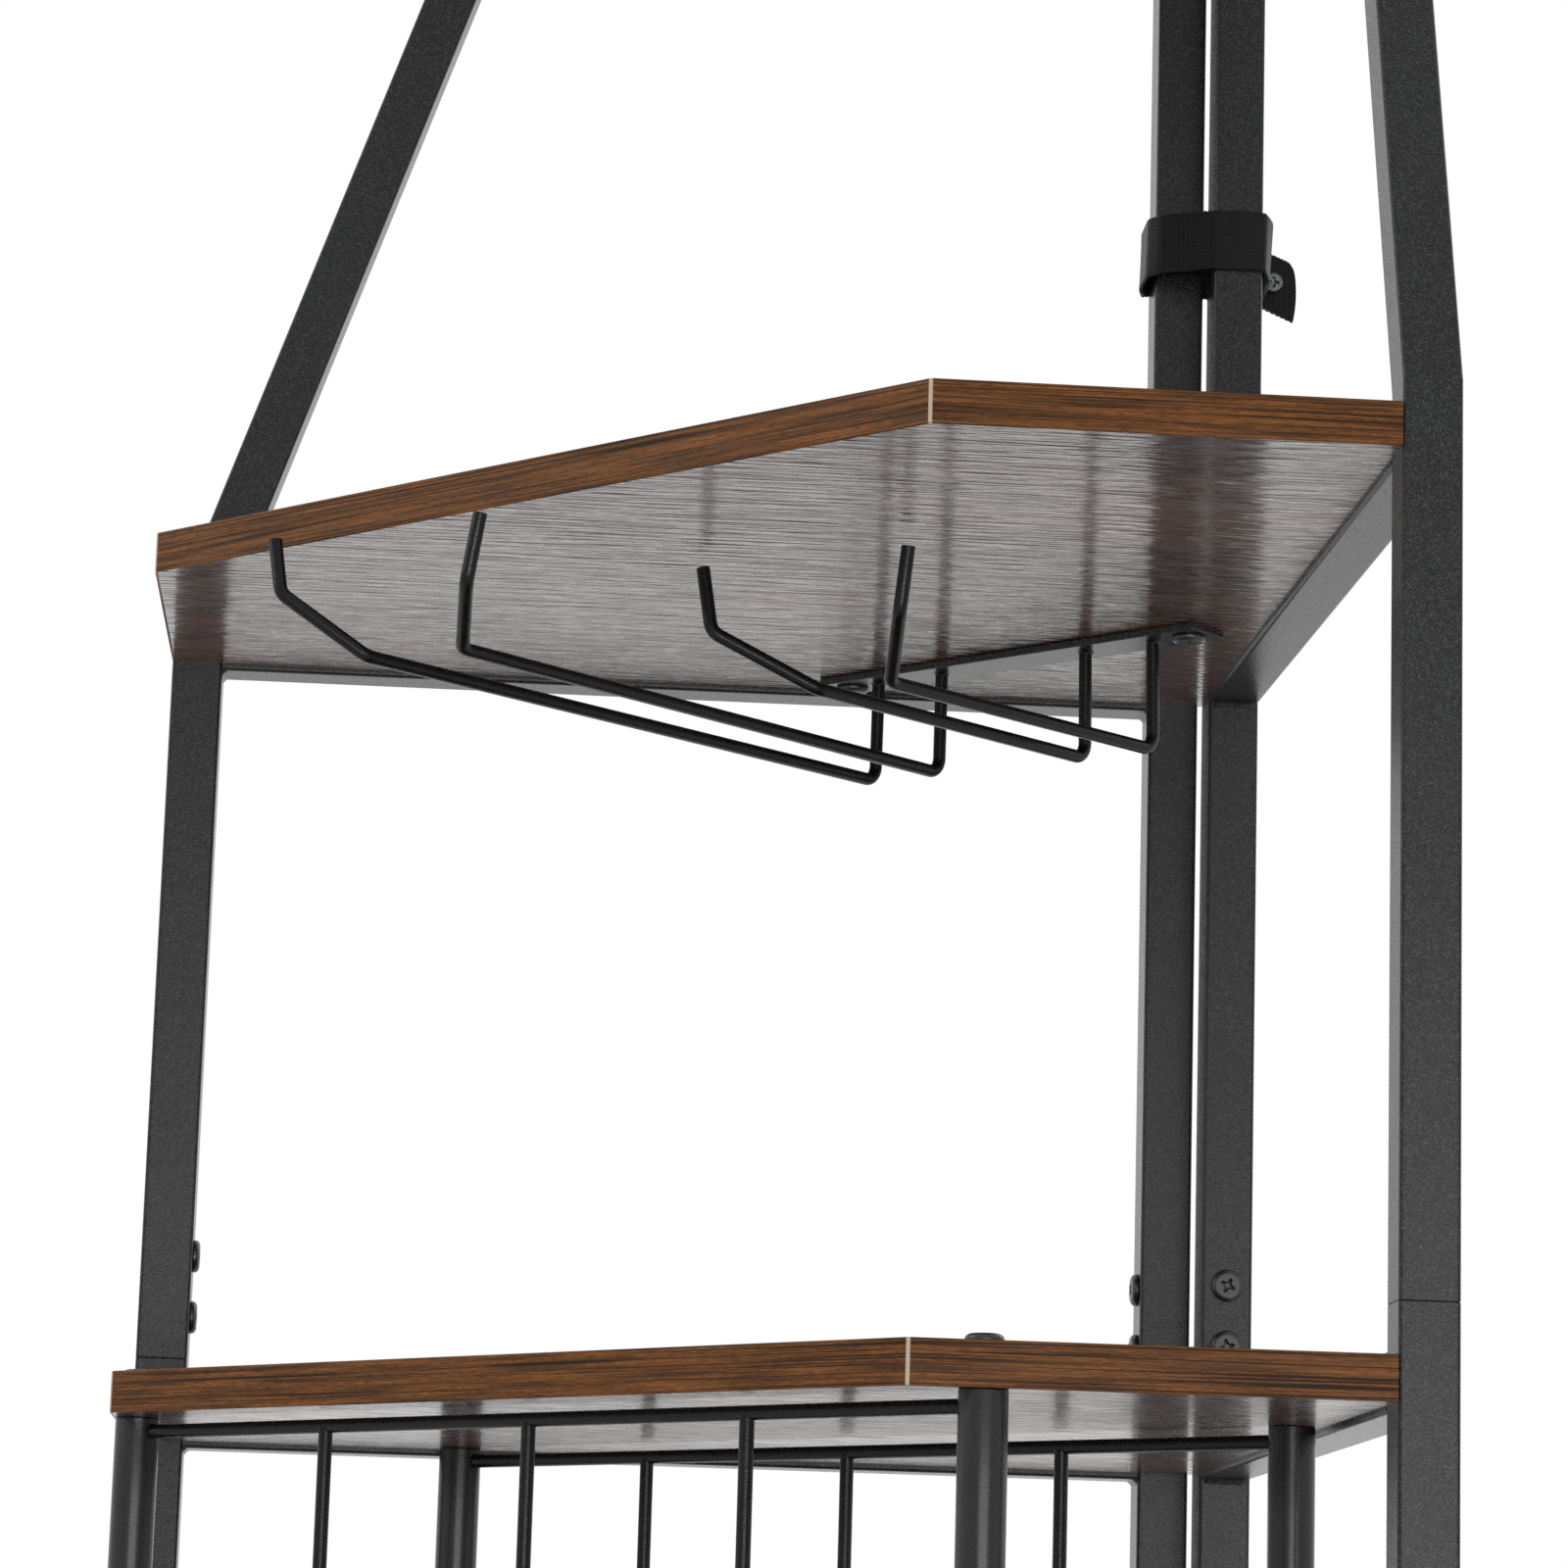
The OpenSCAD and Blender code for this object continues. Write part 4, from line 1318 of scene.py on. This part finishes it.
@dataclass
class GlassRack:
    """The rack for stemmed glasses: a flat bar and four bent wires."""

    plan: Plan
    length: float = 184.0
    width: float = 20.0
    thickness: float = 3.0
    depth: float = 145.0
    shift: float = -4.0
    lane_shift: float = -2.0
    lane_pitch: float = 102.0
    lane_gap: float = 32.0
    drop: float = 44.0
    insets: tuple[float, float] = (12.0, 128.0)
    stagger: float = 12.0
    flare: tuple[float, float, float] = (24.0, 24.0, 18.0)
    tip_out: float = 4.0
    tip_gap: float = 4.0
    # How far the hand bending moves the corners of each wire: across, in depth and up
    hand_bends: tuple[tuple[tuple[float, float, float], ...], ...] = (
        ((-0.4, 0.7, 1.3), (-1.9, 1.7, -0.7), (-0.3, -0.2, 2.9), (-0.4, -0.2, 0.8)),
        ((-0.2, 0.4, 1.1), (0.2, 0.0, 0.4), (0.1, -0.4, -1.0), (1.1, -0.7, 0.9)),
        ((0.8, -0.8, -0.6), (3.4, -3.9, -3.2), (-0.1, -0.4, -1.8), (-0.4, 0.4, 0.0)),
        ((1.0, -0.9, -0.7), (-1.1, 0.2, -2.5), (-1.5, 0.6, -1.8), (-1.9, 1.1, -1.3)))
    bend: float = 6.0
    root_weld: float = 1.0
    root_sunk: float = 0.5
    bar_lip: float = 0.5
    bar_end: float = 6.0

    def flat_bar(self) -> Shell:
        """The flat bar: a rounded rectangle carried along the bar, drawn in at its ends.

        Returns:
            The closed bar.
        """
        lip = self.bar_lip
        bend = np.linspace(0, math.pi / 2, 5)
        edge_y, edge_z = self.width / 2 - lip, self.thickness / 2 - lip
        section = np.concatenate([
            np.stack([sy * edge_y + lip * np.cos(bend + turn),
                      sz * edge_z + lip * np.sin(bend + turn)], axis=-1)
            for sy, sz, turn in ((1, 1, 0.0), (-1, 1, math.pi / 2), (-1, -1, math.pi),
                                 (1, -1, 1.5 * math.pi))])
        end = lip * np.array([0.0, 0.3, 1.0])
        run = np.linspace(-1, 1, 9) * (self.length / 2 - self.bar_end)
        x = np.concatenate([end - self.length / 2, run, self.length / 2 - end[::-1]])
        inset = np.concatenate([end[::-1], np.zeros(len(run)), end])
        shrink = np.stack([1 - inset / (self.width / 2), 1 - inset / (self.thickness / 2)],
                          axis=-1)
        rings = np.empty((len(x), len(section), 3))
        rings[..., 0] = x[:, None]
        rings[..., 1:] = section[None, :, :] * shrink[:, None, :]
        middle = self.plan.spot(self.shift, self.depth,
                                self.plan.levels[3] - self.thickness / 2)
        return swept(rings + middle)

    def wire_corners(self, lane: int, side: int) -> list[Array]:
        """Corners of a wire.

        Args:
            lane: -1 for the left lane, 1 for the right one.
            side: -1 for a lane's left wire, 1 for its right one.

        Returns:
            The welded root, the low corner, both ends of the flare, and the tip.
        """
        plan = self.plan
        across = (self.shift + self.lane_shift + lane * self.lane_pitch / 2
                  + side * self.lane_gap / 2)
        inset = self.insets[0] if lane < 0 else self.insets[1]
        run_end = plan.facet - inset - side * self.stagger / 2
        front = run_end + self.flare[1]
        low = -self.drop
        corners = np.array([
            (across, self.depth, low), (across, run_end, low),
            (across + side * self.flare[0], front, low + self.flare[2]),
            (across + side * (self.flare[0] + self.tip_out), front, -self.tip_gap)])
        corners += np.array(self.hand_bends[lane + 1 + (side + 1) // 2], float)
        root = (corners[0, 0], self.depth, self.root_sunk - self.thickness)
        return [plan.spot(a, d, plan.levels[3] + z) for a, d, z in [root, *corners]]

    def build(self) -> None:
        """Build and dress the bar and both lanes."""
        plan = self.plan
        Piece("glass_rack_plate_coated", [self.flat_bar()], POWDER_COAT, Slot.STEEL,
              ("glass_rack_plate",), flats=True).build()
        for lane, name in ((-1, "left"), (1, "right")):
            shells = []
            for side in (-1, 1):
                corners = self.wire_corners(lane, side)
                path = bent_path(corners, self.bend)
                shells.append(round_wire(path, plan.wire, X_AXIS, 24))
                root = corners[0] - self.root_sunk * UP
                shells.append(collar_bead(root, -UP, plan.wire / 2, self.root_weld,
                                          lane * 2.0 + side))
            Piece(f"{name}_lane_wires_coated", shells, WIRE_COAT, Slot.STEEL,
                  (f"{name}_lane_wires",)).build()


@dataclass(frozen=True)
class HeadShape:
    """A screw's head.

    flat is the radius of its flat top as a share of the diameter, and the recess is a
    cross.
    """

    diameter: float = 12.7
    height: float = 2.5
    flat: float = 0.38
    recess_length: float = 6.2
    recess_width: float = 1.5
    recess_depth: float = 1.5


def pan_head(head: HeadShape, shank: float, length: float, turn: float,
             point: float = 0.5, count: int = 64) -> Shell:
    """A pan head screw about +Z, whose head sits on z = 0.

    Formula: the profile is turned about the axis. The shank's radius carries a thread, a
    triangle wave of height along it that climbs one pitch a turn. The head's top is lowered
    inside the cross by a ramp of the distance to its edge, and less towards the cross's
    tips.

    Args:
        head: shape of the head.
        shank: diameter of the thread.
        length: length of the thread.
        turn: turn of the cross, in radians.
        point: length over which the thread's end tapers.
        count: points round the axis.

    Returns:
        The closed screw.
    """
    pitch, neck, taper = 1.0, 0.4, 0.08
    z_shank = np.linspace(-length, -neck, int(length / pitch) * 4)
    r_shank = shank / 2 * np.clip(taper + (z_shank + length) / point, 0, 1)
    radius, top, flat = head.diameter / 2, head.height, head.diameter * head.flat
    # The rim slopes in above 42 % of the head's height, and its corners are rounded
    r_rim, z_rim = np.array(softened([
        (shank / 2, 0.0), (radius, 0.0), (radius, top * 0.42), (radius * 0.93, top * 0.76),
        (flat, top), (flat - 0.5, top)], 0.45)).T
    r_face = np.linspace(flat - 0.6, 0.06, 34)
    r = np.concatenate([[r_shank[0] * 0.7], r_shank, r_rim, r_face])
    z = np.concatenate([[-length - 0.05], z_shank, z_rim, np.full(len(r_face), top)])
    cos, sin = circle(count)
    climb = (z[:, None] / pitch - np.arange(count)[None, :] / count) % 1.0
    on_shank = ((z < -neck / 2) & (z > neck / 2 - length))[:, None]
    r_all = r[:, None] * (1 - on_shank * np.abs(2 * climb - 1) / shank)
    x, y = r_all * cos, r_all * sin
    u = x * math.cos(turn) + y * math.sin(turn)
    v = -x * math.sin(turn) + y * math.cos(turn)
    half_w, half_l = head.recess_width / 2, head.recess_length / 2

    def arm(p: Array, q: Array) -> Array:
        """Depth share of one tapered arm of the cross.

        Args:
            p: place along the arm.
            q: place across it.

        Returns:
            The share, from 0 outside the arm to 1 inside.
        """
        reach = np.abs(p) / half_l
        across = np.clip((half_w * (1.35 - reach) - np.abs(q)) / 0.3 + 0.4, 0, 1)
        return across * np.clip((1 - reach) / 0.2, 0, 1) * np.clip(1.2 - 0.7 * reach, 0, 1)

    depth = head.recess_depth * np.maximum(arm(u, v), arm(v, u))
    on_top = (np.arange(len(r)) >= len(r) - len(r_face))[:, None]
    heights = z[:, None] - on_top * depth
    return swept(np.stack([x, y, heights], axis=-1))


@dataclass
class Fasteners:
    """The black bolts of the frame and of both racks."""

    plan: Plan
    bolt: float = 6.0
    frame_bolt_length: float = 10.0
    into_rack_tube: float = 11.0
    glass_rack_bolt_length: float = 13.0
    glass_rack_bolt_inset: float = 9.0
    first_bolt: float = 17.0
    bolt_pitch: float = 24.0
    cross_turns: tuple[float, ...] = (15, 48, 71, 22, 15, 62, 33, 80)

    def frame_bolts(self) -> list[Shell]:
        """Two bolts in each post, above the joint.

        Returns:
            The bolts.
        """
        plan = self.plan
        shells = []
        turns = iter(np.radians(self.cross_turns))
        for side in Side:
            for x, way in ((plan.bar_start, 1.0), (plan.outer_x, -1.0)):
                for i in range(2):
                    place = np.array([x, plan.tube / 2,
                                      plan.joint_z + self.first_bolt + i * self.bolt_pitch])
                    start = plan.to_room(place, side)
                    axis = plan.to_room(place + way * X_AXIS, side) - start
                    shell = pan_head(HeadShape(), self.bolt, self.frame_bolt_length,
                                     float(next(turns)))
                    shells.append(shell.placed(start, UP, axis))
        return shells

    def rack_bolts(self) -> list[Shell]:
        """The bottle rack's bolts: four down through the counter, four up from below.

        Returns:
            The bolts.
        """
        plan = self.plan
        shells = []
        places = [(sign, depth) for depth in (plan.front_panel, plan.rear_panel)
                  for sign in (-1, 1)]
        for number, (sign, depth) in enumerate(places):
            for z, axis in ((plan.levels[2] + plan.board, UP), (plan.levels[1], -UP)):
                shell = pan_head(HeadShape(), self.bolt, plan.board + self.into_rack_tube,
                                 0.7 * number + 0.3 * axis[2])
                shells.append(shell.placed(plan.spot(sign * plan.panel_half, depth, z),
                                           X_AXIS, axis))
        return shells

    def glass_rack_bolts(self, rack: GlassRack) -> list[Shell]:
        """The two bolts that hold the glass rack's bar.

        Args:
            rack: the glass rack.

        Returns:
            The bolts.
        """
        shells = []
        across = rack.length / 2 - self.glass_rack_bolt_inset
        for sign, turn in ((-1, 0.4), (1, 1.0)):
            place = self.plan.spot(rack.shift + sign * across, rack.depth,
                                   self.plan.levels[3] - rack.thickness)
            shell = pan_head(HeadShape(), self.bolt, self.glass_rack_bolt_length, turn)
            shells.append(shell.placed(place, X_AXIS, -UP))
        return shells

    def build(self, rack: GlassRack) -> None:
        """Build and dress the bolts.

        Args:
            rack: the glass rack, which its bolts go through.
        """
        for node, shells in (("frame_bolts", self.frame_bolts()),
                             ("bottle_rack_bolts", self.rack_bolts()),
                             ("glass_rack_bolts", self.glass_rack_bolts(rack))):
            Piece(f"{node}_blackened", shells, BLACK_OXIDE, Slot.FASTENER, (node,),
                  crease=SOFT_CREASE).build()


@dataclass
class Strap:
    """The anti-tip strap: webbing round the rear posts, and the wall screw in its tail."""

    plan: Plan
    width: float = 25.0
    thickness: float = 1.6
    rise: float = 191.0
    slack: float = 3.0
    right_slack: float = 4.0
    clearance: float = 0.4
    tail: float = 20.0
    tail_slope: float = math.radians(23)
    cut_start: float = 12.0
    bulge: float = 0.8
    tilt: float = 0.7
    sag: float = 1.2
    softness: float = 5.0
    spacing: float = 0.4
    selvedge_pitch: float = 2.1
    selvedge_swell: float = 0.17
    screw: HeadShape = HeadShape(diameter=8.4, height=1.8, flat=0.455, recess_length=5.2,
                                 recess_width=1.3, recess_depth=1.1)
    screw_x: float = -11.0
    screw_shank: float = 4.0
    screw_length: float = 33.0
    screw_point: float = 6.0

    @property
    def middle_z(self) -> float:
        """Height of the strap's middle."""
        return self.plan.levels[3] + self.rise

    def tail_z(self, x: Array | float) -> Array | float:
        """Height of the tail's middle at a place along the left wall."""
        return self.middle_z + x * math.tan(self.tail_slope)

    def centre_line(self) -> Array:
        """Plan of the webbing's middle: tail, round both rear posts, and tail again.

        Formula: a line through corners that lie a gap away from the posts, sampled evenly
        and averaged over a window of its own length, so that the webbing bends softly.

        Returns:
            Points in the wall frame.
        """
        plan = self.plan
        off = self.clearance + self.thickness / 2
        start, tube, left, right = plan.bar_start, plan.tube, self.slack, self.right_slack
        outer, inner = -off, -off + self.thickness
        corners = np.array([
            (-self.tail, outer), (start + 0.2 * left + off, outer),
            (start + 0.8 * left + off, 0.4 * tube),
            (start + 0.8 * left + off, tube + 2 * left + 0.4),
            (start - left / 4 + 0.6, tube + 3.8 * left + 1.1),
            (tube + 0.5, start + 1.1), (tube / 2, start + 0.4 + off),
            (-0.6, start + 1.1), (-0.65 * right - 1.2, tube + 3.6 * right + 0.5),
            (-right - off, 1.2 * tube), (-right - off, inner), (-self.tail, inner)])
        mark = run_length(corners)
        even = np.arange(0.0, mark[-1], self.spacing)
        window = np.hanning(int(self.softness / self.spacing) // 2 * 2 + 3)[1:-1]
        window /= window.sum()
        half = len(window) // 2
        line = []
        for axis in range(2):
            value = np.interp(even, mark, corners[:, axis])
            padded = np.concatenate([
                2 * value[0] - value[half:0:-1], value, 2 * value[-1] - value[-2:-half - 2:-1]])
            line.append(np.convolve(padded, window, "valid"))
        return np.stack([*line, np.zeros(len(even))], axis=-1)

    def webbing(self) -> Shell:
        """The strap: a flat section with soft edges, carried along the centre line.

        Formula: in the tail the section follows the slope, and its end is cut along a
        parabola whose upper corner is rounded. Beside the left post the strap sags, and
        bulges outwards by the square of the height below its upper edge. Beside the right
        post it tilts: out at its upper edge and in at its lower one. A sine along the strap
        makes the picks of the weave bulge at both selvedges.

        Returns:
            The closed strap.
        """
        path = self.centre_line()
        out = np.cross(unit(np.gradient(path, axis=0)), UP)
        along = run_length(path)
        half, lip = self.width / 2, self.thickness / 2
        rows = np.linspace(-half + lip, half - lip, 18)
        face = np.stack([np.full(len(rows), lip), rows], axis=-1)
        bend = np.linspace(0, math.pi, 7)[1:-1]
        edge = np.stack([lip * np.cos(bend), half - lip + lip * np.sin(bend)], axis=-1)
        section = np.concatenate([face, edge, -face, -edge])
        v = section[:, 1]
        share = v / half
        place = np.repeat(path[:, None, :], len(section), axis=1)
        into_tail = np.clip(
            (-place[..., 0] - self.cut_start) / (self.tail - self.cut_start), 0, 1)
        bow, corner, back = 1.2, 2.4, 0.9
        cut = bow * share ** 2 + corner * np.clip(share, 0, 1) ** 8 - back
        place[..., 0] += into_tail * cut[None, :]
        rings = place + section[None, :, :1] * out[:, None, :] + v[None, :, None] * UP
        rings[..., 2] += np.minimum(rings[..., 0], 0) * math.tan(self.tail_slope)
        selvedge = np.clip((np.abs(v) - half + lip + 0.1) / 0.1, 0, 1) * np.sign(v)
        rings[..., 2] += self.selvedge_swell * selvedge[None, :] * np.sin(
            along[:, None] * 2 * math.pi / self.selvedge_pitch)
        low = np.clip(0.5 - v / self.width, 0, 1)
        # Ramps: each bulge grows over a few millimetres past the posts' edges
        left = np.clip((path[:, 0] - self.plan.bar_start) / 4.0, 0, 1)[:, None]
        right = np.clip(-path[:, 0] / 3.0, 0, 1) * np.clip((path[:, 1] - 4.0) / 12.0, 0, 1)
        swell = left * (0.2 + low ** 2)[None, :] * self.bulge
        swell = swell + right[:, None] * (1 - 2 * low)[None, :] * self.tilt
        rings += swell[..., None] * out[:, None, :]
        sag = left[:, 0] * np.clip((self.plan.tube - path[:, 1]) / self.plan.tube, 0, 1)
        rings[..., 2] += self.middle_z - self.sag * sag[:, None]
        pattern = np.stack(np.broadcast_arrays(along[:, None], v[None, :] + half), axis=-1)
        return swept(self.plan.to_room(rings), pattern)

    def wall_screw(self) -> Shell:
        """The pan head screw in the tail, which goes into the wall behind.

        Returns:
            The screw.
        """
        plan = self.plan
        place = np.array([self.screw_x, self.thickness - self.clearance,
                          self.tail_z(self.screw_x)])
        start = plan.to_room(place)
        shell = pan_head(self.screw, self.screw_shank, self.screw_length, 0.0,
                         self.screw_point)
        return shell.placed(start, UP, plan.to_room(place + Y_AXIS) - start)

    def build(self) -> None:
        """Build and dress the strap and its screw."""
        Piece("anti_tip_strap_webbing", [self.webbing()], WEBBING, Slot.WEBBING,
              ("anti_tip_strap",), crease=SOFT_CREASE).build()
        Piece("wall_screw_plated", [self.wall_screw()], SCREW_PLATE, Slot.ZINC,
              ("wall_screw",), crease=SOFT_CREASE).build()


@dataclass
class LevellingFeet:
    """Four levelling feet: pad, grip hub with flutes, and threaded stud."""

    plan: Plan
    pad: float = 22.0
    pad_height: float = 7.0
    hub: float = 12.0
    hub_height: float = 3.0
    stud: float = 6.0
    stud_length: float = 24.0
    chamfer: float = 1.5
    softness: float = 0.5
    flutes: int = 16
    flute_depth: float = 0.25
    sides: int = 96

    def foot(self) -> Shell:
        """A foot about +Z from z = 0.

        Formula: a turned profile with soft corners. The pad's rim carries shallow flutes,
        a cosine round the axis.

        Returns:
            The closed foot.
        """
        pad, height, hub, stud = self.pad / 2, self.pad_height, self.hub / 2, self.stud / 2
        top = height + self.hub_height
        end, cut, middle = top + self.stud_length, self.chamfer, 0.6
        radius, z = np.array(softened([
            (middle, 0.0), (pad - cut, 0.0), (pad, cut), (pad, height - cut),
            (pad - cut, height), (hub, height), (hub, top), (stud, top), (stud, end - cut),
            (stud - cut, end), (middle, end)], self.softness)).T
        flute = self.flute_depth * (1 - circle(self.sides // self.flutes)[0]) / 2
        # The flutes stay off the rim's rounded edges
        bottom, margin = 0.8, 0.6
        rim = (z > bottom) & (z < height - margin) & (radius > pad - margin)
        radius = radius[:, None] - rim[:, None] * np.tile(flute, self.flutes)
        return swept(turned(radius, z, self.sides))

    def build(self) -> None:
        """Build and dress the feet; each rides on its own body."""
        plan = self.plan
        half = plan.tube / 2
        for side in Side:
            for part, x in (("outer", plan.outer_x + half), ("rear", plan.rear_x + half)):
                node = f"{side.value}_{part}_foot"
                shell = self.foot()
                shell.points = shell.points + plan.to_room(np.array([x, half, 0.0]), side)
                Piece(f"{node}_moulded", [shell], POLYETHYLENE, Slot.PLASTIC, (node,),
                      body=f"{node}_body").build()


# Studio and camera


@dataclass
class Studio:
    """A white room: soft lamps, a plain pale floor and an even sky."""

    sky: float = 0.86
    floor_radius: float = 6000.0
    floor_depth: float = 0.5
    floor_sides: int = 64
    # Name, place, width and height, and power of each
    lamps: tuple[tuple[str, tuple[float, float, float], tuple[float, float], float],
                 ...] = (
        ("key_softbox", (-2.6, -3.2, 3.0), (2.4, 2.4), 40.0),
        ("low_strip_softbox", (3.1, -2.65, 0.5), (2.8, 0.95), 62.0),
        ("rear_softbox", (0.4, 3.4, 3.2), (2.4, 2.4), 20.0))
    target: tuple[float, float, float] = (0.0, 0.0, 0.95)

    def world(self) -> None:
        """White to the camera, to gloss and through glass; softer as a light."""
        world = bpy.data.worlds.new("white_studio")
        bpy.context.scene.world = world
        world.use_nodes = True
        tree = world.node_tree
        rays = add_node(tree, "LightPath")
        seen = rays["Is Camera Ray"]
        for name in ("Is Glossy Ray", "Is Transmission Ray"):
            seen = add_node(tree, "Math", (seen, rays[name]), operation="MAXIMUM")[0]
        strength = add_node(tree, "MapRange", (seen, 0.0, 1.0, self.sky, 1.0))["Result"]
        feed(tree.nodes["Background"], {"Color": "#ffffff", "Strength": strength})

    def floor(self) -> None:
        """A pale round floor, 12 m wide, under the rack."""
        shell = swept(turned(np.full(2, self.floor_radius),
                             np.array([-self.floor_depth, 0.0]), self.floor_sides))
        mesh = bpy.data.meshes.new("studio_floor")
        mesh.from_pydata((shell.points * MM).tolist(), [],
                         shell.quads.tolist() + shell.tris.tolist())
        mesh.materials.append(FloorPaint().material())
        made = bpy.data.objects.new("studio_floor", mesh)
        bpy.context.scene.collection.objects.link(made)

    def light(self) -> None:
        """Large flat lamps that face the rack's middle."""
        for name, place, (width, height), power in self.lamps:
            lamp = bpy.data.lights.new(name, "AREA")
            lamp.shape, lamp.energy = "RECTANGLE", power
            lamp.size, lamp.size_y = width, height
            made = bpy.data.objects.new(name, lamp)
            way = unit(np.array(place) - np.array(self.target))
            right = unit(np.cross(UP, way))
            basis = np.eye(4)
            basis[:3, 0], basis[:3, 1] = right, np.cross(way, right)
            basis[:3, 2], basis[:3, 3] = way, place
            made.matrix_world = Matrix(basis.tolist())
            bpy.context.scene.collection.objects.link(made)

    def build(self) -> None:
        """Set up the view, the world, the floor and the lamps."""
        bpy.context.scene.view_settings.view_transform = "Standard"
        self.world()
        self.floor()
        self.light()


@dataclass
class PhotoCamera:
    """The photograph's camera, solved from its straight edges, in the wall frame."""

    plan: Plan
    place: tuple[float, float, float] = (331.021, 1999.395, 719.572)
    yaw: float = math.radians(4.105)
    pitch: float = math.radians(11.093)
    roll: float = math.radians(1.665)
    lens: float = 115.29
    sensor: float = 36.0
    clip: tuple[float, float] = (0.05, 60.0)

    def build(self) -> None:
        """Place the camera: it looks along -y, turned right, then up, then rolled."""

        def rotated(a: Array, b: Array, angle: float) -> tuple[Array, Array]:
            """Turn two square directions in their own plane."""
            return (math.cos(angle) * a + math.sin(angle) * b,
                    math.cos(angle) * b - math.sin(angle) * a)

        ahead, right = rotated(-Y_AXIS, -X_AXIS, self.yaw)
        ahead, up = rotated(ahead, UP, self.pitch)
        right, up = rotated(right, up, self.roll)
        origin = self.plan.to_room(np.zeros(3))
        basis = np.eye(4)
        for column, way in enumerate((right, up, -ahead)):
            basis[:3, column] = self.plan.to_room(way) - origin
        basis[:3, 3] = self.plan.to_room(np.array(self.place)) * MM
        data = bpy.data.cameras.new("photo_camera")
        data.sensor_width = data.sensor_height = self.sensor
        data.sensor_fit = "HORIZONTAL"
        data.lens = self.lens
        data.clip_start, data.clip_end = self.clip
        made = bpy.data.objects.new("photo_camera", data)
        made.matrix_world = Matrix(basis.tolist())
        bpy.context.scene.collection.objects.link(made)
        bpy.context.scene.camera = made


def main() -> None:
    """Build the camera, the studio and every piece of the rack, and dress the packed solids."""
    logging.basicConfig(level=logging.INFO, format="%(name)s %(message)s")
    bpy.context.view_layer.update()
    plan = plan_of_frame()
    PhotoCamera(plan).build()
    Studio().build()
    for side in Side:
        SideFrame(plan, side).build()
    EdgeBands(plan).build()
    BottleRack(plan).build()
    glass_rack = GlassRack(plan)
    glass_rack.build()
    Fasteners(plan).build(glass_rack)
    Strap(plan).build()
    LevellingFeet(plan).build()
    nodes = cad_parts
    dress_solids([n for n in nodes if n.endswith("crossbar") or n == "joint_sleeves"],
                 POWDER_COAT)
    dress_solids([n for n in nodes if n.endswith("_board")], LAMINATE)
    dress_solids(["rack_tube_nuts", "glass_rack_nuts", "board_screws"], ZINC_PLATE)
    dress_solids(["post_caps", "foot_inserts"], POLYETHYLENE)


if __name__ == "__main__":
    main()
